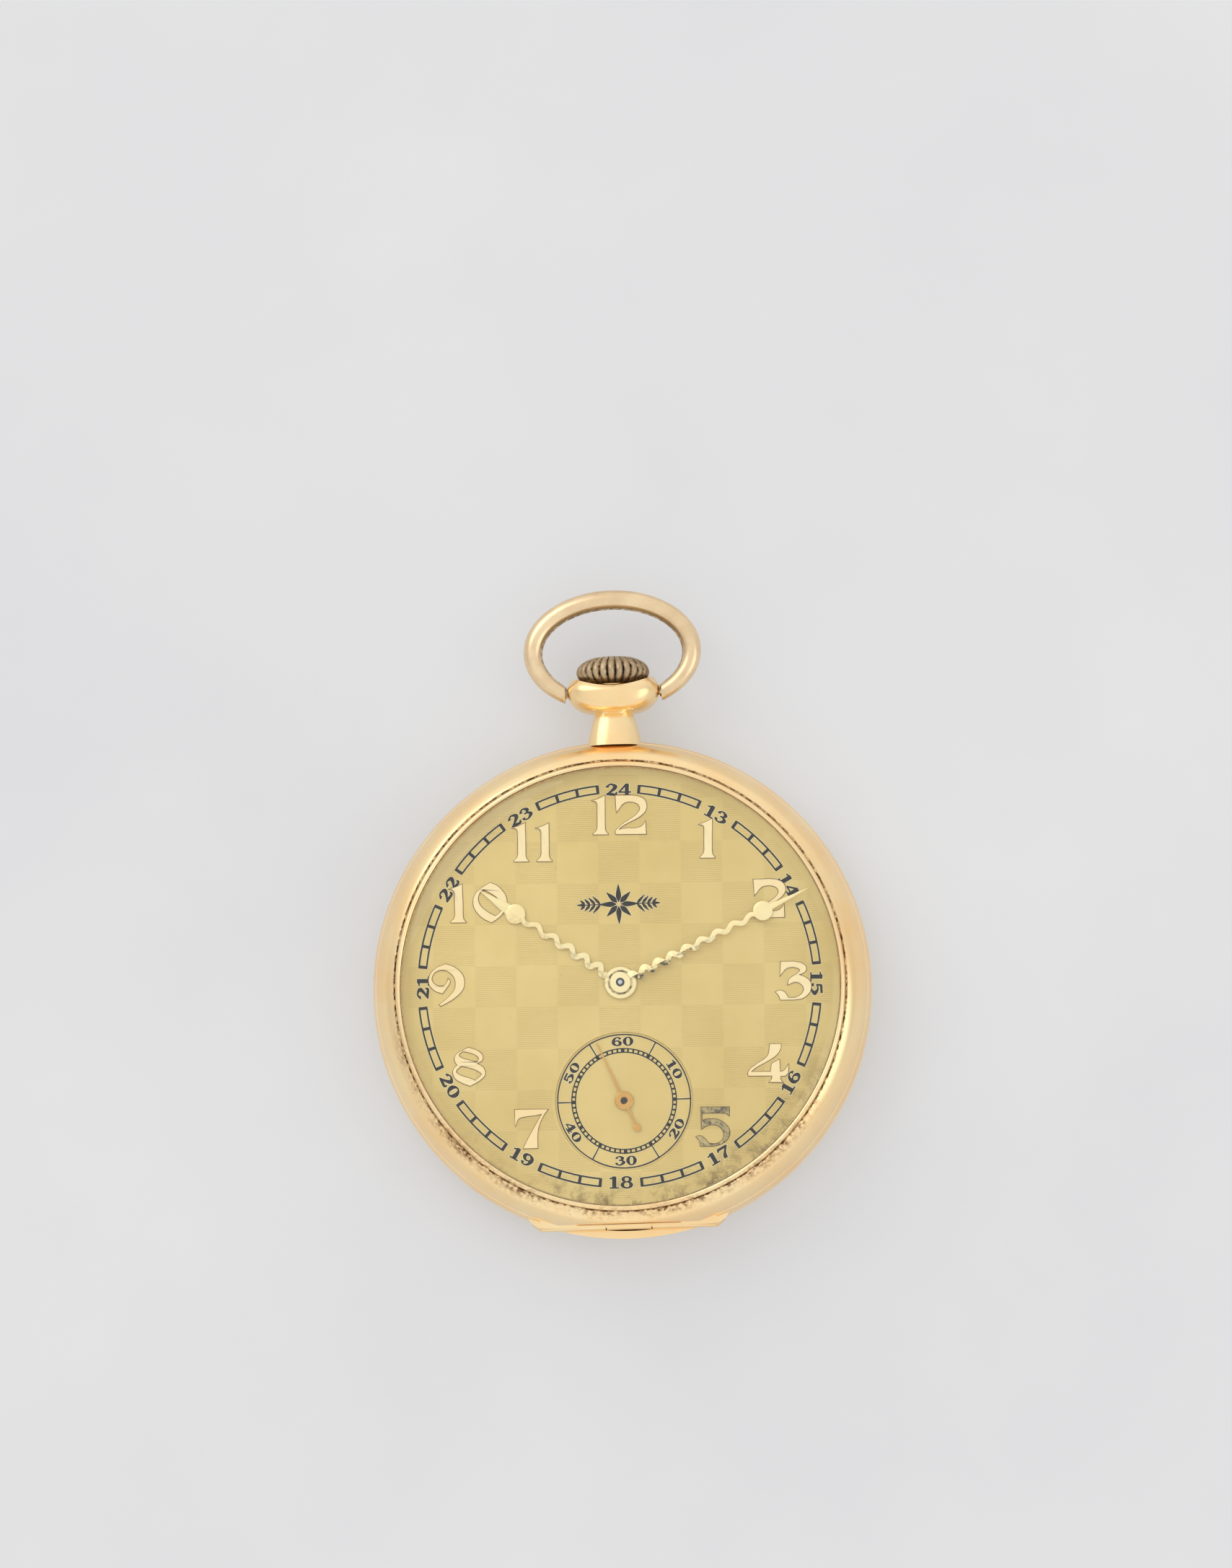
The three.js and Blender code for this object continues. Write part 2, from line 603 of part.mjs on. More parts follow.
function trainBridge() {
  const holes = [...WHEEL_PIVOTS, CENTRE].map((at) => disc(at, 0.95, [2, 4], 16));
  return cut(bridgeBlank(),
    block([-21, 21], [1.8, 21], [0, 6]),
    block([-21, -9.6], [-21, 21], [0, 6]),
    block([-21, -3.4], [-8.5, 21], [0, 6]),
    disc(BALANCE, 6.45, [0, 6], 32),
    ...holes);
}

function balanceCock() {
  const foot = disc(new THREE.Vector2(-16.9, 0), 1.75, [2.4, LEVEL.plate[0]], 20);
  const arm = new THREE.Shape();
  arm.moveTo(BALANCE.x - 1.5, BALANCE.y - 0.2);
  arm.absarc(BALANCE.x, BALANCE.y, 1.7, Math.PI * 1.1, Math.PI * 0.05, false);
  arm.lineTo(-15.4, 0.9);
  arm.lineTo(-18.4, -0.7);
  arm.closePath();
  return cut(join(foot, slab(arm, [2.4, 3.05])), disc(BALANCE, 0.95, [2, 4], 16));
}

function palletBridge() {
  const shape = new THREE.Shape();
  shape.absarc(0, 0, 0.8, 0.35, Math.PI * 2 - 0.6, false);
  shape.lineTo(2.8, -0.7);
  shape.lineTo(2.8, 0.7);
  shape.closePath();
  const pad = slab(shape, [4, 4.3], 8);
  const foot = disc(new THREE.Vector2(2.4, 0), 0.65, [4.2, LEVEL.plate[0]], 14);
  return cut(join(pad, foot), disc(origin, 0.18, [3, 5], 12));
}

function screw(headRadius, headLevels, shankRadius, shankTo) {
  const [head, neck] = headLevels;
  return turned([
    [0, head], [headRadius, head], [headRadius, neck], [shankRadius, neck], [shankRadius, shankTo],
    [0, shankTo],
  ], 10);
}

const jewel = () => ring(origin, 0.18, 0.88, [2.45, 2.85], 10);

// ---------------------------------------------------------------- barrel and winding

function barrel() {
  const wheel = slab(gearShape(TRAIN.barrel, PHASE.barrel), [4.25, 4.7]);
  const drum = disc(origin, 6.55, [4.25, LEVEL.barrel[1]], 24);
  const hollow = disc(origin, 6.2, [4, 5.6], 24);
  return cut(join(wheel, drum), hollow, disc(origin, 0.56, [4, 6], 12));
}

const barrelLid = () => ring(origin, 0.56, 6.1, [4.2, 4.38], 24);

function barrelArbor() {
  return arbor([[2.1, 0.5], [4.48, 1.3], [5.52, 0.5], [5.85, 0.3], [6.2, 0]]);
}

// A flat ribbon wound outwards.
const SPIRAL_STEPS = 12;

function spiral(inner, outer, turns, thickness, levels) {
  const steps = turns * SPIRAL_STEPS;
  const edge = (offset) => Array.from({ length: steps + 1 }, (_, i) => {
    const radius = inner + ((outer - inner) * i) / steps + offset;
    return polar(radius, (360 * turns * i) / steps);
  });
  return slab(new THREE.Shape([...edge(thickness / 2), ...edge(-thickness / 2).reverse()]), levels);
}

const ratchetWheel = () => slab(gearShape(TRAIN.ratchet, PHASE.ratchet, 0.54), LEVEL.windingWheels);

function crownWheel() {
  const rim = slab(gearShape(TRAIN.crownWheel, 0, 1.25), LEVEL.windingWheels);
  return join(rim, ring(origin, 1.25, 4, [2.2, 2.92], 28));
}

function click() {
  const shape = new THREE.Shape();
  shape.moveTo(-0.8, -0.4);
  shape.absarc(0, 0, 0.85, Math.PI * 1.2, Math.PI * 2.6, false);
  shape.lineTo(-2.3, 0.9);
  shape.lineTo(-1.9, 0.3);
  shape.closePath();
  return cut(slab(shape, LEVEL.windingWheels, 8), disc(origin, 0.36, [2, 3], 12));
}

// ---------------------------------------------------------------- going train

function centreWheel() {
  const wheel = slab(gearShape(TRAIN.centre, PHASE.centre, 0, 4), LEVEL.centreWheel, 3);
  const pinion = slab(gearShape(TRAIN.centrePinion, PHASE.centrePinion), [4.15, 4.9]);
  return join(wheel, pinion, arbor([[2.5, 0.14], [3.35, 0.6], [5.3, 0.36], [8.32, 0]]));
}

function thirdWheel() {
  const pinion = slab(gearShape(TRAIN.thirdPinion, PHASE.thirdPinion), [3.5, 3.95]);
  const wheel = slab(gearShape(TRAIN.third, PHASE.third, 0, 4), LEVEL.thirdWheel, 3);
  return join(wheel, pinion, arbor([[2.5, 0.12], [3.35, 0.35], [5.05, 0.12], [5.7, 0]]));
}

function fourthWheel() {
  const pinion = slab(gearShape(TRAIN.fourthPinion, PHASE.fourthPinion), [4.4, 4.95]);
  const wheel = slab(gearShape(TRAIN.fourth, PHASE.fourth, 0, 4), LEVEL.fourthWheel, 3);
  return join(wheel, pinion, arbor([[2.5, 0.12], [3.35, 0.35], [5.05, 0.22], [7.58, 0]]));
}

const ESCAPE_TEETH = 15;
const ESCAPE_RADIUS = 3.15;

// Club teeth raked forward, on a light wheel.
function escapeWheel() {
  const points = [];
  for (let tooth = 0; tooth < ESCAPE_TEETH; tooth += 1) {
    const start = (tooth * 360) / ESCAPE_TEETH;
    points.push(polar(2.3, start), polar(ESCAPE_RADIUS, start + 9));
    points.push(polar(ESCAPE_RADIUS - 0.15, start + 13), polar(2.3, start + 10));
  }
  const shape = new THREE.Shape(points);
  for (let spoke = 0; spoke < 4; spoke += 1) shape.holes.push(spokeWindow(spoke, 4, 1.9, 0.8));
  const pinion = slab(gearShape(TRAIN.escapePinion, PHASE.escapePinion), [3.95, 4.35]);
  return join(slab(shape, LEVEL.pallets, 3), pinion,
    arbor([[2.5, 0.12], [3.35, 0.3], [5.05, 0.12], [5.7, 0]]));
}

// Anchor seen along its arbor: two arms towards the escape wheel and a fork towards the balance.
function palletFork() {
  const toEscape = Math.atan2(ESCAPE.y - PALLETS.y, ESCAPE.x - PALLETS.x);
  const toBalance = Math.atan2(BALANCE.y - PALLETS.y, BALANCE.x - PALLETS.x);
  const arms = [-1, 1].map((side) => block([0, 2.1], [-0.22, 0.22], LEVEL.pallets)
    .rotate([0, 0, THREE.MathUtils.radToDeg(toEscape) + side * 68]));
  const fork = cut(block([0, 3.3], [-0.2, 0.2], LEVEL.pallets),
    block([3, 4], [-0.1, 0.1], [4, 6])).rotate([0, 0, THREE.MathUtils.radToDeg(toBalance)]);
  return join(...arms, fork, arbor([[4.05, 0.12], [4.4, 0.3], [5.05, 0.12], [5.7, 0]]));
}

function balanceWheel() {
  const rim = ring(origin, BALANCE_RADIUS - 0.55, BALANCE_RADIUS, LEVEL.balance, 32);
  const arm = block([-5.6, 5.6], [-0.35, 0.35], [3.5, 3.7]);
  const roller = disc(origin, 0.6, [4.55, 4.75], 16);
  const staff = arbor([[2.5, 0.12], [3.1, 0.3], [5.05, 0.12], [5.7, 0]]);
  return join(rim, arm, disc(origin, 0.8, [3.45, 3.8], 16), roller, staff);
}

function regulator() {
  const arm = new THREE.Shape();
  arm.moveTo(-0.25, 1);
  arm.lineTo(-0.1, 4.2);
  arm.lineTo(0.1, 4.2);
  arm.lineTo(0.25, 1);
  arm.closePath();
  return join(ring(origin, 0.95, 1.35, [2.12, 2.35], 20), slab(arm, [2.12, 2.35]))
    .rotate([0, 0, 15]);
}

// ---------------------------------------------------------------- assembly

const watch = new THREE.Group();
const place = (name, shape, material, at = origin, turn = 0) => {
  const mesh = part(name, shape, material);
  mesh.position.set(at.x, at.y, 0);
  mesh.rotation.z = THREE.MathUtils.degToRad(turn);
  watch.add(mesh);
};

place('case_band', caseBand(), gold);
place('bezel', bezel(), gold);
place('crystal', crystal(), glass);
place('rear_cover', rearCover(), gold);
place('cuvette', cuvette(), gold);
place('cover_hinge_pin', hingePin(COVER_HINGE, 14), gold);
place('cuvette_hinge_pin', hingePin(CUVETTE_HINGE, 10), gold);
place('bow', bow(), paleGold);
place('crown', crown(), paleGold);
place('winding_stem', windingStem(), steel);
place('winding_pinion', windingPinion(), steel);
place('sliding_pinion', slidingPinion(), steel);
place('setting_lever', settingLever(), steel, new THREE.Vector2(3.4, 16.4), 180);

place('dial', dial(), dialGold);
const HOUR_HAND = {
  boss: 1.57, bore: 1, stemEnd: 12.1, discRadius: 0.95, tip: 16.2, waves: 6, width: 0.55, leaf: 0.42,
};
const MINUTE_HAND = {
  boss: 1.03, bore: 0.68, stemEnd: 15.3, discRadius: 0.93, tip: 20.1, waves: 9, width: 0.5, leaf: 0.3,
};
place('hour_hand', wavyHand(HOUR_HAND, LEVEL.hourHand), handGold, CENTRE, HEADING.hour);
place('minute_hand', wavyHand(MINUTE_HAND, LEVEL.minuteHand), handGold, CENTRE, HEADING.minute);
place('second_hand', secondHand(), handGold, SECONDS, HEADING.second);
place('hour_wheel', hourWheel(), brass, CENTRE);
place('cannon_pinion', cannonPinion(), steel, CENTRE);
place('minute_wheel', minuteWheel(), brass, MINUTE_WHEEL);

place('main_plate', mainPlate(), nickel);
place('barrel_bridge', barrelBridge(), nickel);
place('train_bridge', trainBridge(), nickel);
place('balance_cock', balanceCock(), nickel);
place('pallet_bridge', palletBridge(), nickel, PALLETS, 195);

place('barrel', barrel(), brass, BARREL);
place('barrel_lid', barrelLid(), brass, BARREL);
place('barrel_arbor', barrelArbor(), steel, BARREL);
place('mainspring', spiral(1.7, 5.6, 4, 0.35, [4.5, 5.5]), steel, BARREL);
place('ratchet_wheel', ratchetWheel(), steel, BARREL);
place('crown_wheel', crownWheel(), steel, CROWN_WHEEL);
place('click', click(), steel, polar(7.6, 0).add(BARREL));

place('centre_wheel', centreWheel(), brass, CENTRE);
place('third_wheel', thirdWheel(), brass, THIRD);
place('fourth_wheel', fourthWheel(), brass, SECONDS);
place('escape_wheel', escapeWheel(), steel, ESCAPE);
place('pallet_fork', palletFork(), steel, PALLETS);
place('balance_wheel', balanceWheel(), brass, BALANCE);
place('hairspring', spiral(0.75, 3.6, 4, 0.12, LEVEL.hairspring), steel, BALANCE);
place('regulator', regulator(), steel, BALANCE);

const jewelPlaces = { centre: CENTRE, third: THIRD, fourth: SECONDS, escape: ESCAPE, balance: BALANCE };
for (const [name, at] of Object.entries(jewelPlaces)) place(`${name}_jewel`, jewel(), ruby, at);

const smallScrew = () => screw(0.8, [2.05, 2.38], 0.4, 2.39);
const screwPlaces = {
  barrel_bridge_screw_left: polar(16.8, 160),
  barrel_bridge_screw_right: polar(16.8, 25),
  train_bridge_screw_right: polar(16.8, -22),
  train_bridge_screw_bottom: polar(16.8, -100),
  balance_cock_screw: new THREE.Vector2(-16.9, 0),
};
for (const [name, at] of Object.entries(screwPlaces)) place(name, smallScrew(), steel, at);
place('ratchet_screw', screw(1.1, [1.8, 2.08], 0.4, 2.09), steel, BARREL);
place('crown_wheel_screw', screw(1.5, [1.8, 2.08], 0.9, 2.38), steel, CROWN_WHEEL);
CASE_SCREWS.forEach((at, index) => {
  place(`case_screw_${index + 1}`, screw(1.15, [4.5, 4.85], 0.5, 5.9), steel, at);
});

export default watch;
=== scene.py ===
"""Open face pocket watch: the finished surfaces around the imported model.

Dimensions are millimetres in the model's frame, turned into metres by MM.
"""
import json
import math

import bmesh
import bpy
from mathutils import Matrix, Vector
from mathutils.geometry import tessellate_polygon


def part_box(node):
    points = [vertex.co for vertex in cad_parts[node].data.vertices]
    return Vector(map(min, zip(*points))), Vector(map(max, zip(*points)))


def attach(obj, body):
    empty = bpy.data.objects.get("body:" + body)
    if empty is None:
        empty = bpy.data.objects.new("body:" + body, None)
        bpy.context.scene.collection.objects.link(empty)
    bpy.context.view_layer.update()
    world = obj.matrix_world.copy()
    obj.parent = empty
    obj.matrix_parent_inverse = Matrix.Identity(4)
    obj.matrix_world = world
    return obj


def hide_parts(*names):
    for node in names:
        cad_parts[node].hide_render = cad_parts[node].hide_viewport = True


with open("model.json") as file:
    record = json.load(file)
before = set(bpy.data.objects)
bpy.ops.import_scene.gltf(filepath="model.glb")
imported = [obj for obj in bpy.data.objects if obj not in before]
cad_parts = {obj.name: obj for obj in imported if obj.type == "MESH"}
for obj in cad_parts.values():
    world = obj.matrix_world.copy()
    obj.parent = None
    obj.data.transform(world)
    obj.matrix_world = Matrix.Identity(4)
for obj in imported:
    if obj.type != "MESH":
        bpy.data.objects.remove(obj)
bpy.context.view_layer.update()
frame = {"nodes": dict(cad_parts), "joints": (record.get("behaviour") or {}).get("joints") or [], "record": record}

MM = 0.001
TURN = 2 * math.pi
JOINTS = {joint["name"]: joint for joint in frame["joints"]}


def joint_place(name):
    """A joint's place in millimetres."""
    return Vector(JOINTS[name]["pos_m"]) / MM


def top_of(node):
    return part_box(node)[1].z / MM


def bottom_of(node):
    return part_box(node)[0].z / MM


HANDS = joint_place("minute_hand_turn")
SECONDS = joint_place("second_hand_turn")
STEM_Z = joint_place("crown_turn").z
BOW_PIVOT = joint_place("bow_swing")
COVER_HINGE = joint_place("cover_open")
CUVETTE_HINGE = joint_place("cuvette_open")
CASE_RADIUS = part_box("rear_cover")[1].x / MM
DIAL_TOP = top_of("dial")
SUBDIAL_FLOOR = 7.2
SUBDIAL_RADIUS = 6.63
DIAL_PRINT = Vector((-0.1, 0.08))
DIAL_TURN = -1.25
HOUR_NUMBER_HEIGHT = 3.68
# The hands' directions, in degrees anticlockwise from +X.
HOUR_HEADING = 145.0
MINUTE_HEADING = 24.8
SECOND_HEADING = 113.9
SHARP = 35          # degrees between faces from which an edge is sharp
SAME_PLACE = 1e-8   # metres between points that are merged
RADIAN = 57.3       # degrees
# Middles of the raised hour numbers, which were set one by one and aren't quite on one circle.
HOUR_PLACES = {
    1: (8.7, 13.95), 2: (14.5, 8.0), 3: (16.55, 0.0), 4: (13.9, -7.85), 5: (8.45, -13.75), 7: (-8.95, -13.4),
    8: (-14.75, -7.25), 9: (-16.7, 0.6), 10: (-13.45, 8.45), 11: (-8.1, 14.15), 12: (0.35, 16.5),
}


# ------------------------------------------------------------------ node helpers


def new_material(name):
    """A material with its node tree and its shader."""
    material = bpy.data.materials.new(name)
    material.use_nodes = True
    return material, material.node_tree, material.node_tree.nodes["Principled BSDF"]


def add(tree, kind, settings=None, **values):
    """A node with its settings and its input values or links."""
    node = tree.nodes.new(kind)
    for key, value in (settings or {}).items():
        setattr(node, key, value)
    for key, value in values.items():
        put(tree, node.inputs[int(key[1:]) if key[0] == "_" else key], value)
    return node


def put(tree, socket, value):
    if isinstance(value, bpy.types.NodeSocket):
        tree.links.new(value, socket)
    else:
        socket.default_value = value


def maths(tree, operation, a, b=0.0, c=0.0):
    settings = {"operation": operation}
    return add(tree, "ShaderNodeMath", settings, _0=a, _1=b, _2=c).outputs[0]


def scale_to(tree, value, low, high, new_low=0.0, new_high=1.0):
    node = add(tree, "ShaderNodeMapRange", {"clamp": True}, _0=value, _1=low, _2=high)
    node.inputs[3].default_value = new_low
    node.inputs[4].default_value = new_high
    return node.outputs[0]


def distance(tree, x, y):
    """How far the point (x, y) lies from (0, 0)."""
    squares = maths(tree, "ADD", maths(tree, "POWER", x, 2.0), maths(tree, "POWER", y, 2.0))
    return maths(tree, "SQRT", squares)


def relief(tree, shader, height, strength, depth):
    """Fine relief in a surface, with its depth in metres."""
    bumped = add(tree, "ShaderNodeBump", None, Strength=strength, Distance=depth, Height=height)
    put(tree, shader.inputs["Normal"], bumped.outputs[0])


def blend_colour(tree, mask, first, second):
    node = tree.nodes.new("ShaderNodeMix")
    node.data_type = "RGBA"
    put(tree, node.inputs[0], mask)
    put(tree, node.inputs[6], first)
    put(tree, node.inputs[7], second)
    return node.outputs[2]


def noise(tree, place, scale, detail=4.0, rough=0.6):
    return add(tree, "ShaderNodeTexNoise", None, Vector=place, Scale=scale, Detail=detail,
               Roughness=rough).outputs["Fac"]


def object_place(tree):
    return tree.nodes.new("ShaderNodeTexCoord").outputs["Object"]


def colour(red, green, blue):
    """A linear colour from screen values of 0 to 255."""
    channels = [c / 255 for c in (red, green, blue)]
    linear = [c / 12.92 if c <= 0.04045 else ((c + 0.055) / 1.055) ** 2.4 for c in channels]
    return (*linear, 1.0)


# ------------------------------------------------------------------ shared effects


def group_tree(name, inputs, outputs):
    """An empty node group with named inputs (name, socket type, default) and outputs."""
    tree = bpy.data.node_groups.new(name, "ShaderNodeTree")
    for label, kind, default in inputs:
        socket = tree.interface.new_socket(label, in_out="INPUT", socket_type=kind)
        socket.default_value = default
    for label, kind in outputs:
        tree.interface.new_socket(label, in_out="OUTPUT", socket_type=kind)
    return tree, tree.nodes.new("NodeGroupInput"), tree.nodes.new("NodeGroupOutput")


FLOAT, COLOUR = "NodeSocketFloat", "NodeSocketColor"


def worn_metal_group():
    """Handled metal: cloudy colour, uneven polish and fine scratches, with a speckled dark mask that some
    materials use for real stains and others for painted shade.
    """
    tree, given, result = group_tree(
        "Worn_metal",
        [("Bright", COLOUR, (1, 1, 1, 1)), ("Dull", COLOUR, (0.5, 0.5, 0.5, 1)),
         ("Polish", FLOAT, 0.2), ("Unevenness", FLOAT, 0.12), ("Stain And Shade", FLOAT, 0.0),
         ("Stain And Shade Colour", COLOUR, (0.2, 0.1, 0.05, 1))],
        [("Colour", COLOUR), ("Roughness", FLOAT), ("Height", FLOAT)])
    place = object_place(tree)
    cloud = noise(tree, place, 160.0, 5.0)
    fine = noise(tree, place, 2400.0, 3.0)
    stretched = add(tree, "ShaderNodeMapping", None, Vector=place, Scale=(1.0, 14.0, 6.0),
                    Rotation=(0.2, 0.1, 0.7)).outputs[0]
    scratch = scale_to(tree, noise(tree, stretched, 900.0, 2.0), 0.62, 0.75)
    dull = scale_to(tree, cloud, 0.35, 0.75)
    base = blend_colour(tree, dull, given.outputs["Bright"], given.outputs["Dull"])
    # Speckled dark mask: real tarnish on some materials, painted shade on others.
    stain_and_shade_speck = maths(tree, "MULTIPLY", given.outputs["Stain And Shade"], scale_to(tree, fine, 0.38, 0.62))
    stained_and_shaded = blend_colour(tree, stain_and_shade_speck, base, given.outputs["Stain And Shade Colour"])
    rough = maths(tree, "MULTIPLY_ADD", cloud, given.outputs["Unevenness"], given.outputs["Polish"])
    rough = maths(tree, "MULTIPLY_ADD", stain_and_shade_speck, 0.35, rough)
    height = maths(tree, "MULTIPLY_ADD", scratch, -0.5, maths(tree, "MULTIPLY", fine, 0.35))
    put(tree, result.inputs["Colour"], stained_and_shaded)
    put(tree, result.inputs["Roughness"], rough)
    put(tree, result.inputs["Height"], height)
    return tree


WORN = worn_metal_group()


def worn_metal(name, bright, dull, polish=0.2, unevenness=0.12, stain_and_shade=None, stain_and_shade_colour=None,
               bump=0.12):
    """A metal finish. The optional mask function builds, in the material's tree, real stains on some materials and
    painted shade on others.
    """
    material, tree, shader = new_material(name)
    effect = add(tree, "ShaderNodeGroup", {"node_tree": WORN})
    effect.inputs["Bright"].default_value = bright
    effect.inputs["Dull"].default_value = dull
    effect.inputs["Polish"].default_value = polish
    effect.inputs["Unevenness"].default_value = unevenness
    if stain_and_shade:
        put(tree, effect.inputs["Stain And Shade"], stain_and_shade(tree))
        effect.inputs["Stain And Shade Colour"].default_value = stain_and_shade_colour
    put(tree, shader.inputs["Base Color"], effect.outputs["Colour"])
    put(tree, shader.inputs["Roughness"], effect.outputs["Roughness"])
    relief(tree, shader, effect.outputs["Height"], bump, 0.00002)
    shader.inputs["Metallic"].default_value = 1.0
    return material


def split_place(tree):
    """Object x, y and z in millimetres."""
    parts = add(tree, "ShaderNodeSeparateXYZ", None, _0=object_place(tree)).outputs
    return [maths(tree, "MULTIPLY", part, 1 / MM) for part in parts]


def near_angle(tree, degrees, spread):
    """1 in the direction of an angle from +X about the middle of the case, fading to 0 over spread."""
    x, y, _ = split_place(tree)
    angle = math.radians(degrees)
    along = maths(tree, "ADD", maths(tree, "MULTIPLY", x, math.cos(angle)),
                  maths(tree, "MULTIPLY", y, math.sin(angle)))
    radius = distance(tree, x, y)
    return scale_to(tree, maths(tree, "DIVIDE", along, radius), math.cos(math.radians(spread)), 1.0)


def ring_mask(tree, radius, width):
    """1 on a circle about the middle of the case, fading to 0 at width either side."""
    x, y, _ = split_place(tree)
    away = maths(tree, "ABSOLUTE", maths(tree, "SUBTRACT", distance(tree, x, y), radius))
    return scale_to(tree, away, 0.0, width, 1.0, 0.0)


# ------------------------------------------------------------------ finishes


def under_facet(tree, heading, side, reach):
    """Painted shade: the facets on one side of a hand's own line, fading out along the hand."""
    x, y, _ = split_place(tree)
    c, s = math.cos(math.radians(heading)), math.sin(math.radians(heading))
    x, y = maths(tree, "SUBTRACT", x, HANDS.x), maths(tree, "SUBTRACT", y, HANDS.y)
    across = maths(tree, "SUBTRACT", maths(tree, "MULTIPLY", y, c), maths(tree, "MULTIPLY", x, s))
    along = maths(tree, "ADD", maths(tree, "MULTIPLY", x, c), maths(tree, "MULTIPLY", y, s))
    beside = scale_to(tree, maths(tree, "MULTIPLY", across, side), 0.03, 0.09)
    stem = maths(tree, "MULTIPLY", scale_to(tree, along, 1.0, 1.3),
                 scale_to(tree, along, reach * 0.4, reach, 1.0, 0.0))
    return maths(tree, "MULTIPLY", beside, stem)


def hub_shade(tree):
    """Painted shadow of the minute hand's hub, a dark ring in the step round it, and painted shade on the hour
    hand's facets on one side of its line.
    """
    x, y, _ = split_place(tree)
    away = distance(tree, maths(tree, "SUBTRACT", x, HANDS.x), maths(tree, "SUBTRACT", y, HANDS.y))
    facets = maths(tree, "MULTIPLY", under_facet(tree, HOUR_HEADING, 1.0, 16.0), 0.35)
    return maths(tree, "MAXIMUM", scale_to(tree, away, 1.16, 1.24, 1.0, 0.0), facets)


def minute_shade(tree):
    """Painted shade on the minute hand's facets on one side of its line."""
    return maths(tree, "MULTIPLY", under_facet(tree, MINUTE_HEADING, -1.0, 12.0), 1.3)


def lip_tarnish(tree):
    """Brown tarnish outside the lip, strongest towards 5 and 7 o'clock, the same brown all round inside it, and
    painted shade in the groove at the lip's foot.
    """
    low = scale_to(tree, near_angle(tree, 262, 78), 0.0, 0.5)
    patches = scale_to(tree, noise(tree, object_place(tree), 300.0), 0.42, 0.6, 0.15, 1.0)
    outside = maths(tree, "MULTIPLY", ring_mask(tree, 21.9, 0.75), maths(tree, "MULTIPLY", low, patches))
    inside = maths(tree, "MULTIPLY", ring_mask(tree, 20.9, 0.3), 1.0)
    # Painted shade darkening the narrow groove outside the lip.
    groove = maths(tree, "MULTIPLY", ring_mask(tree, 21.72, 0.16), 1.2)
    return maths(tree, "MAXIMUM", outside, maths(tree, "MAXIMUM", inside, groove))


def stored_dirt(tree):
    """Painted shade with some dirt where the shape holds it: in the crown's grooves and at its foot, on the bow's
    inner side, at its ends and on its pins, from the amount stored with the mesh.
    """
    amount = add(tree, "ShaderNodeAttribute", {"attribute_name": "shade_and_dirt"}).outputs["Fac"]
    return scale_to(tree, amount, 0.2, 0.9)


def everywhere(amount):
    """A mask of patches all over, up to an amount."""
    return lambda tree: scale_to(tree, noise(tree, object_place(tree), 1500.0), 0.42, 0.56, 0.0, amount)


GOLD_BRIGHT = colour(255, 228, 176)
GOLD_DULL = colour(255, 214, 154)
case_gold = worn_metal("case_gold", GOLD_BRIGHT, GOLD_DULL, 0.17, 0.16)
bezel_gold = worn_metal("bezel_gold", GOLD_BRIGHT, GOLD_DULL, 0.16, 0.16, lip_tarnish,
                        colour(118, 76, 44))
cover_gold = worn_metal("cover_gold", GOLD_BRIGHT, GOLD_DULL, 0.14, 0.14)
# The bow's dark mask is painted shade with some dirt: darker on the loop's inner side, at its ends and on its
# pins.
pale_gold = worn_metal("pale_gold", colour(250, 224, 182), colour(208, 176, 134), 0.2, 0.16, stored_dirt,
                       colour(74, 56, 38), 0.2)
HAND_METAL = (colour(255, 240, 184), colour(255, 228, 156), 0.24, 0.1)
hand_gold = worn_metal("hand_gold", *HAND_METAL)
# The hands' dark masks are painted shade: a shadow ring round the minute hand's hub and shade on the facets on one
# side of each hand.
hour_hand_gold = worn_metal("hour_hand_gold", *HAND_METAL, hub_shade, colour(84, 60, 30))
minute_hand_gold = worn_metal("minute_hand_gold", *HAND_METAL, minute_shade, colour(84, 78, 44))
second_hand_gold = worn_metal("second_hand_gold", colour(226, 180, 98), colour(206, 154, 76), 0.24, 0.1)
numeral_gold = worn_metal("numeral_gold", colour(255, 236, 184), colour(252, 222, 160), 0.26, 0.12)
dark_steel = worn_metal("dark_steel", colour(70, 66, 64), colour(40, 36, 34), 0.35, 0.1)
wheel_brass = worn_metal("wheel_brass", colour(232, 200, 124), colour(214, 176, 100), 0.25, 0.1)
steel = worn_metal("polished_steel", colour(206, 208, 212), colour(180, 184, 190), 0.18, 0.1)
blued_steel = worn_metal("blued_steel", colour(64, 84, 150), colour(44, 60, 120), 0.22, 0.08)
tarnished_gold = worn_metal("tarnished_gold", colour(206, 186, 130), colour(150, 138, 104), 0.35, 0.2,
                            everywhere(0.85), colour(70, 66, 58))
# The crown's dark mask is painted shade with some dirt: darker down its grooves and near its foot.
crown_gold = worn_metal("crown_gold", colour(206, 182, 146), colour(140, 116, 88), 0.3, 0.2,
                        stored_dirt, colour(30, 22, 18), 0.3)


STRIPE_WIDTH = 2.2


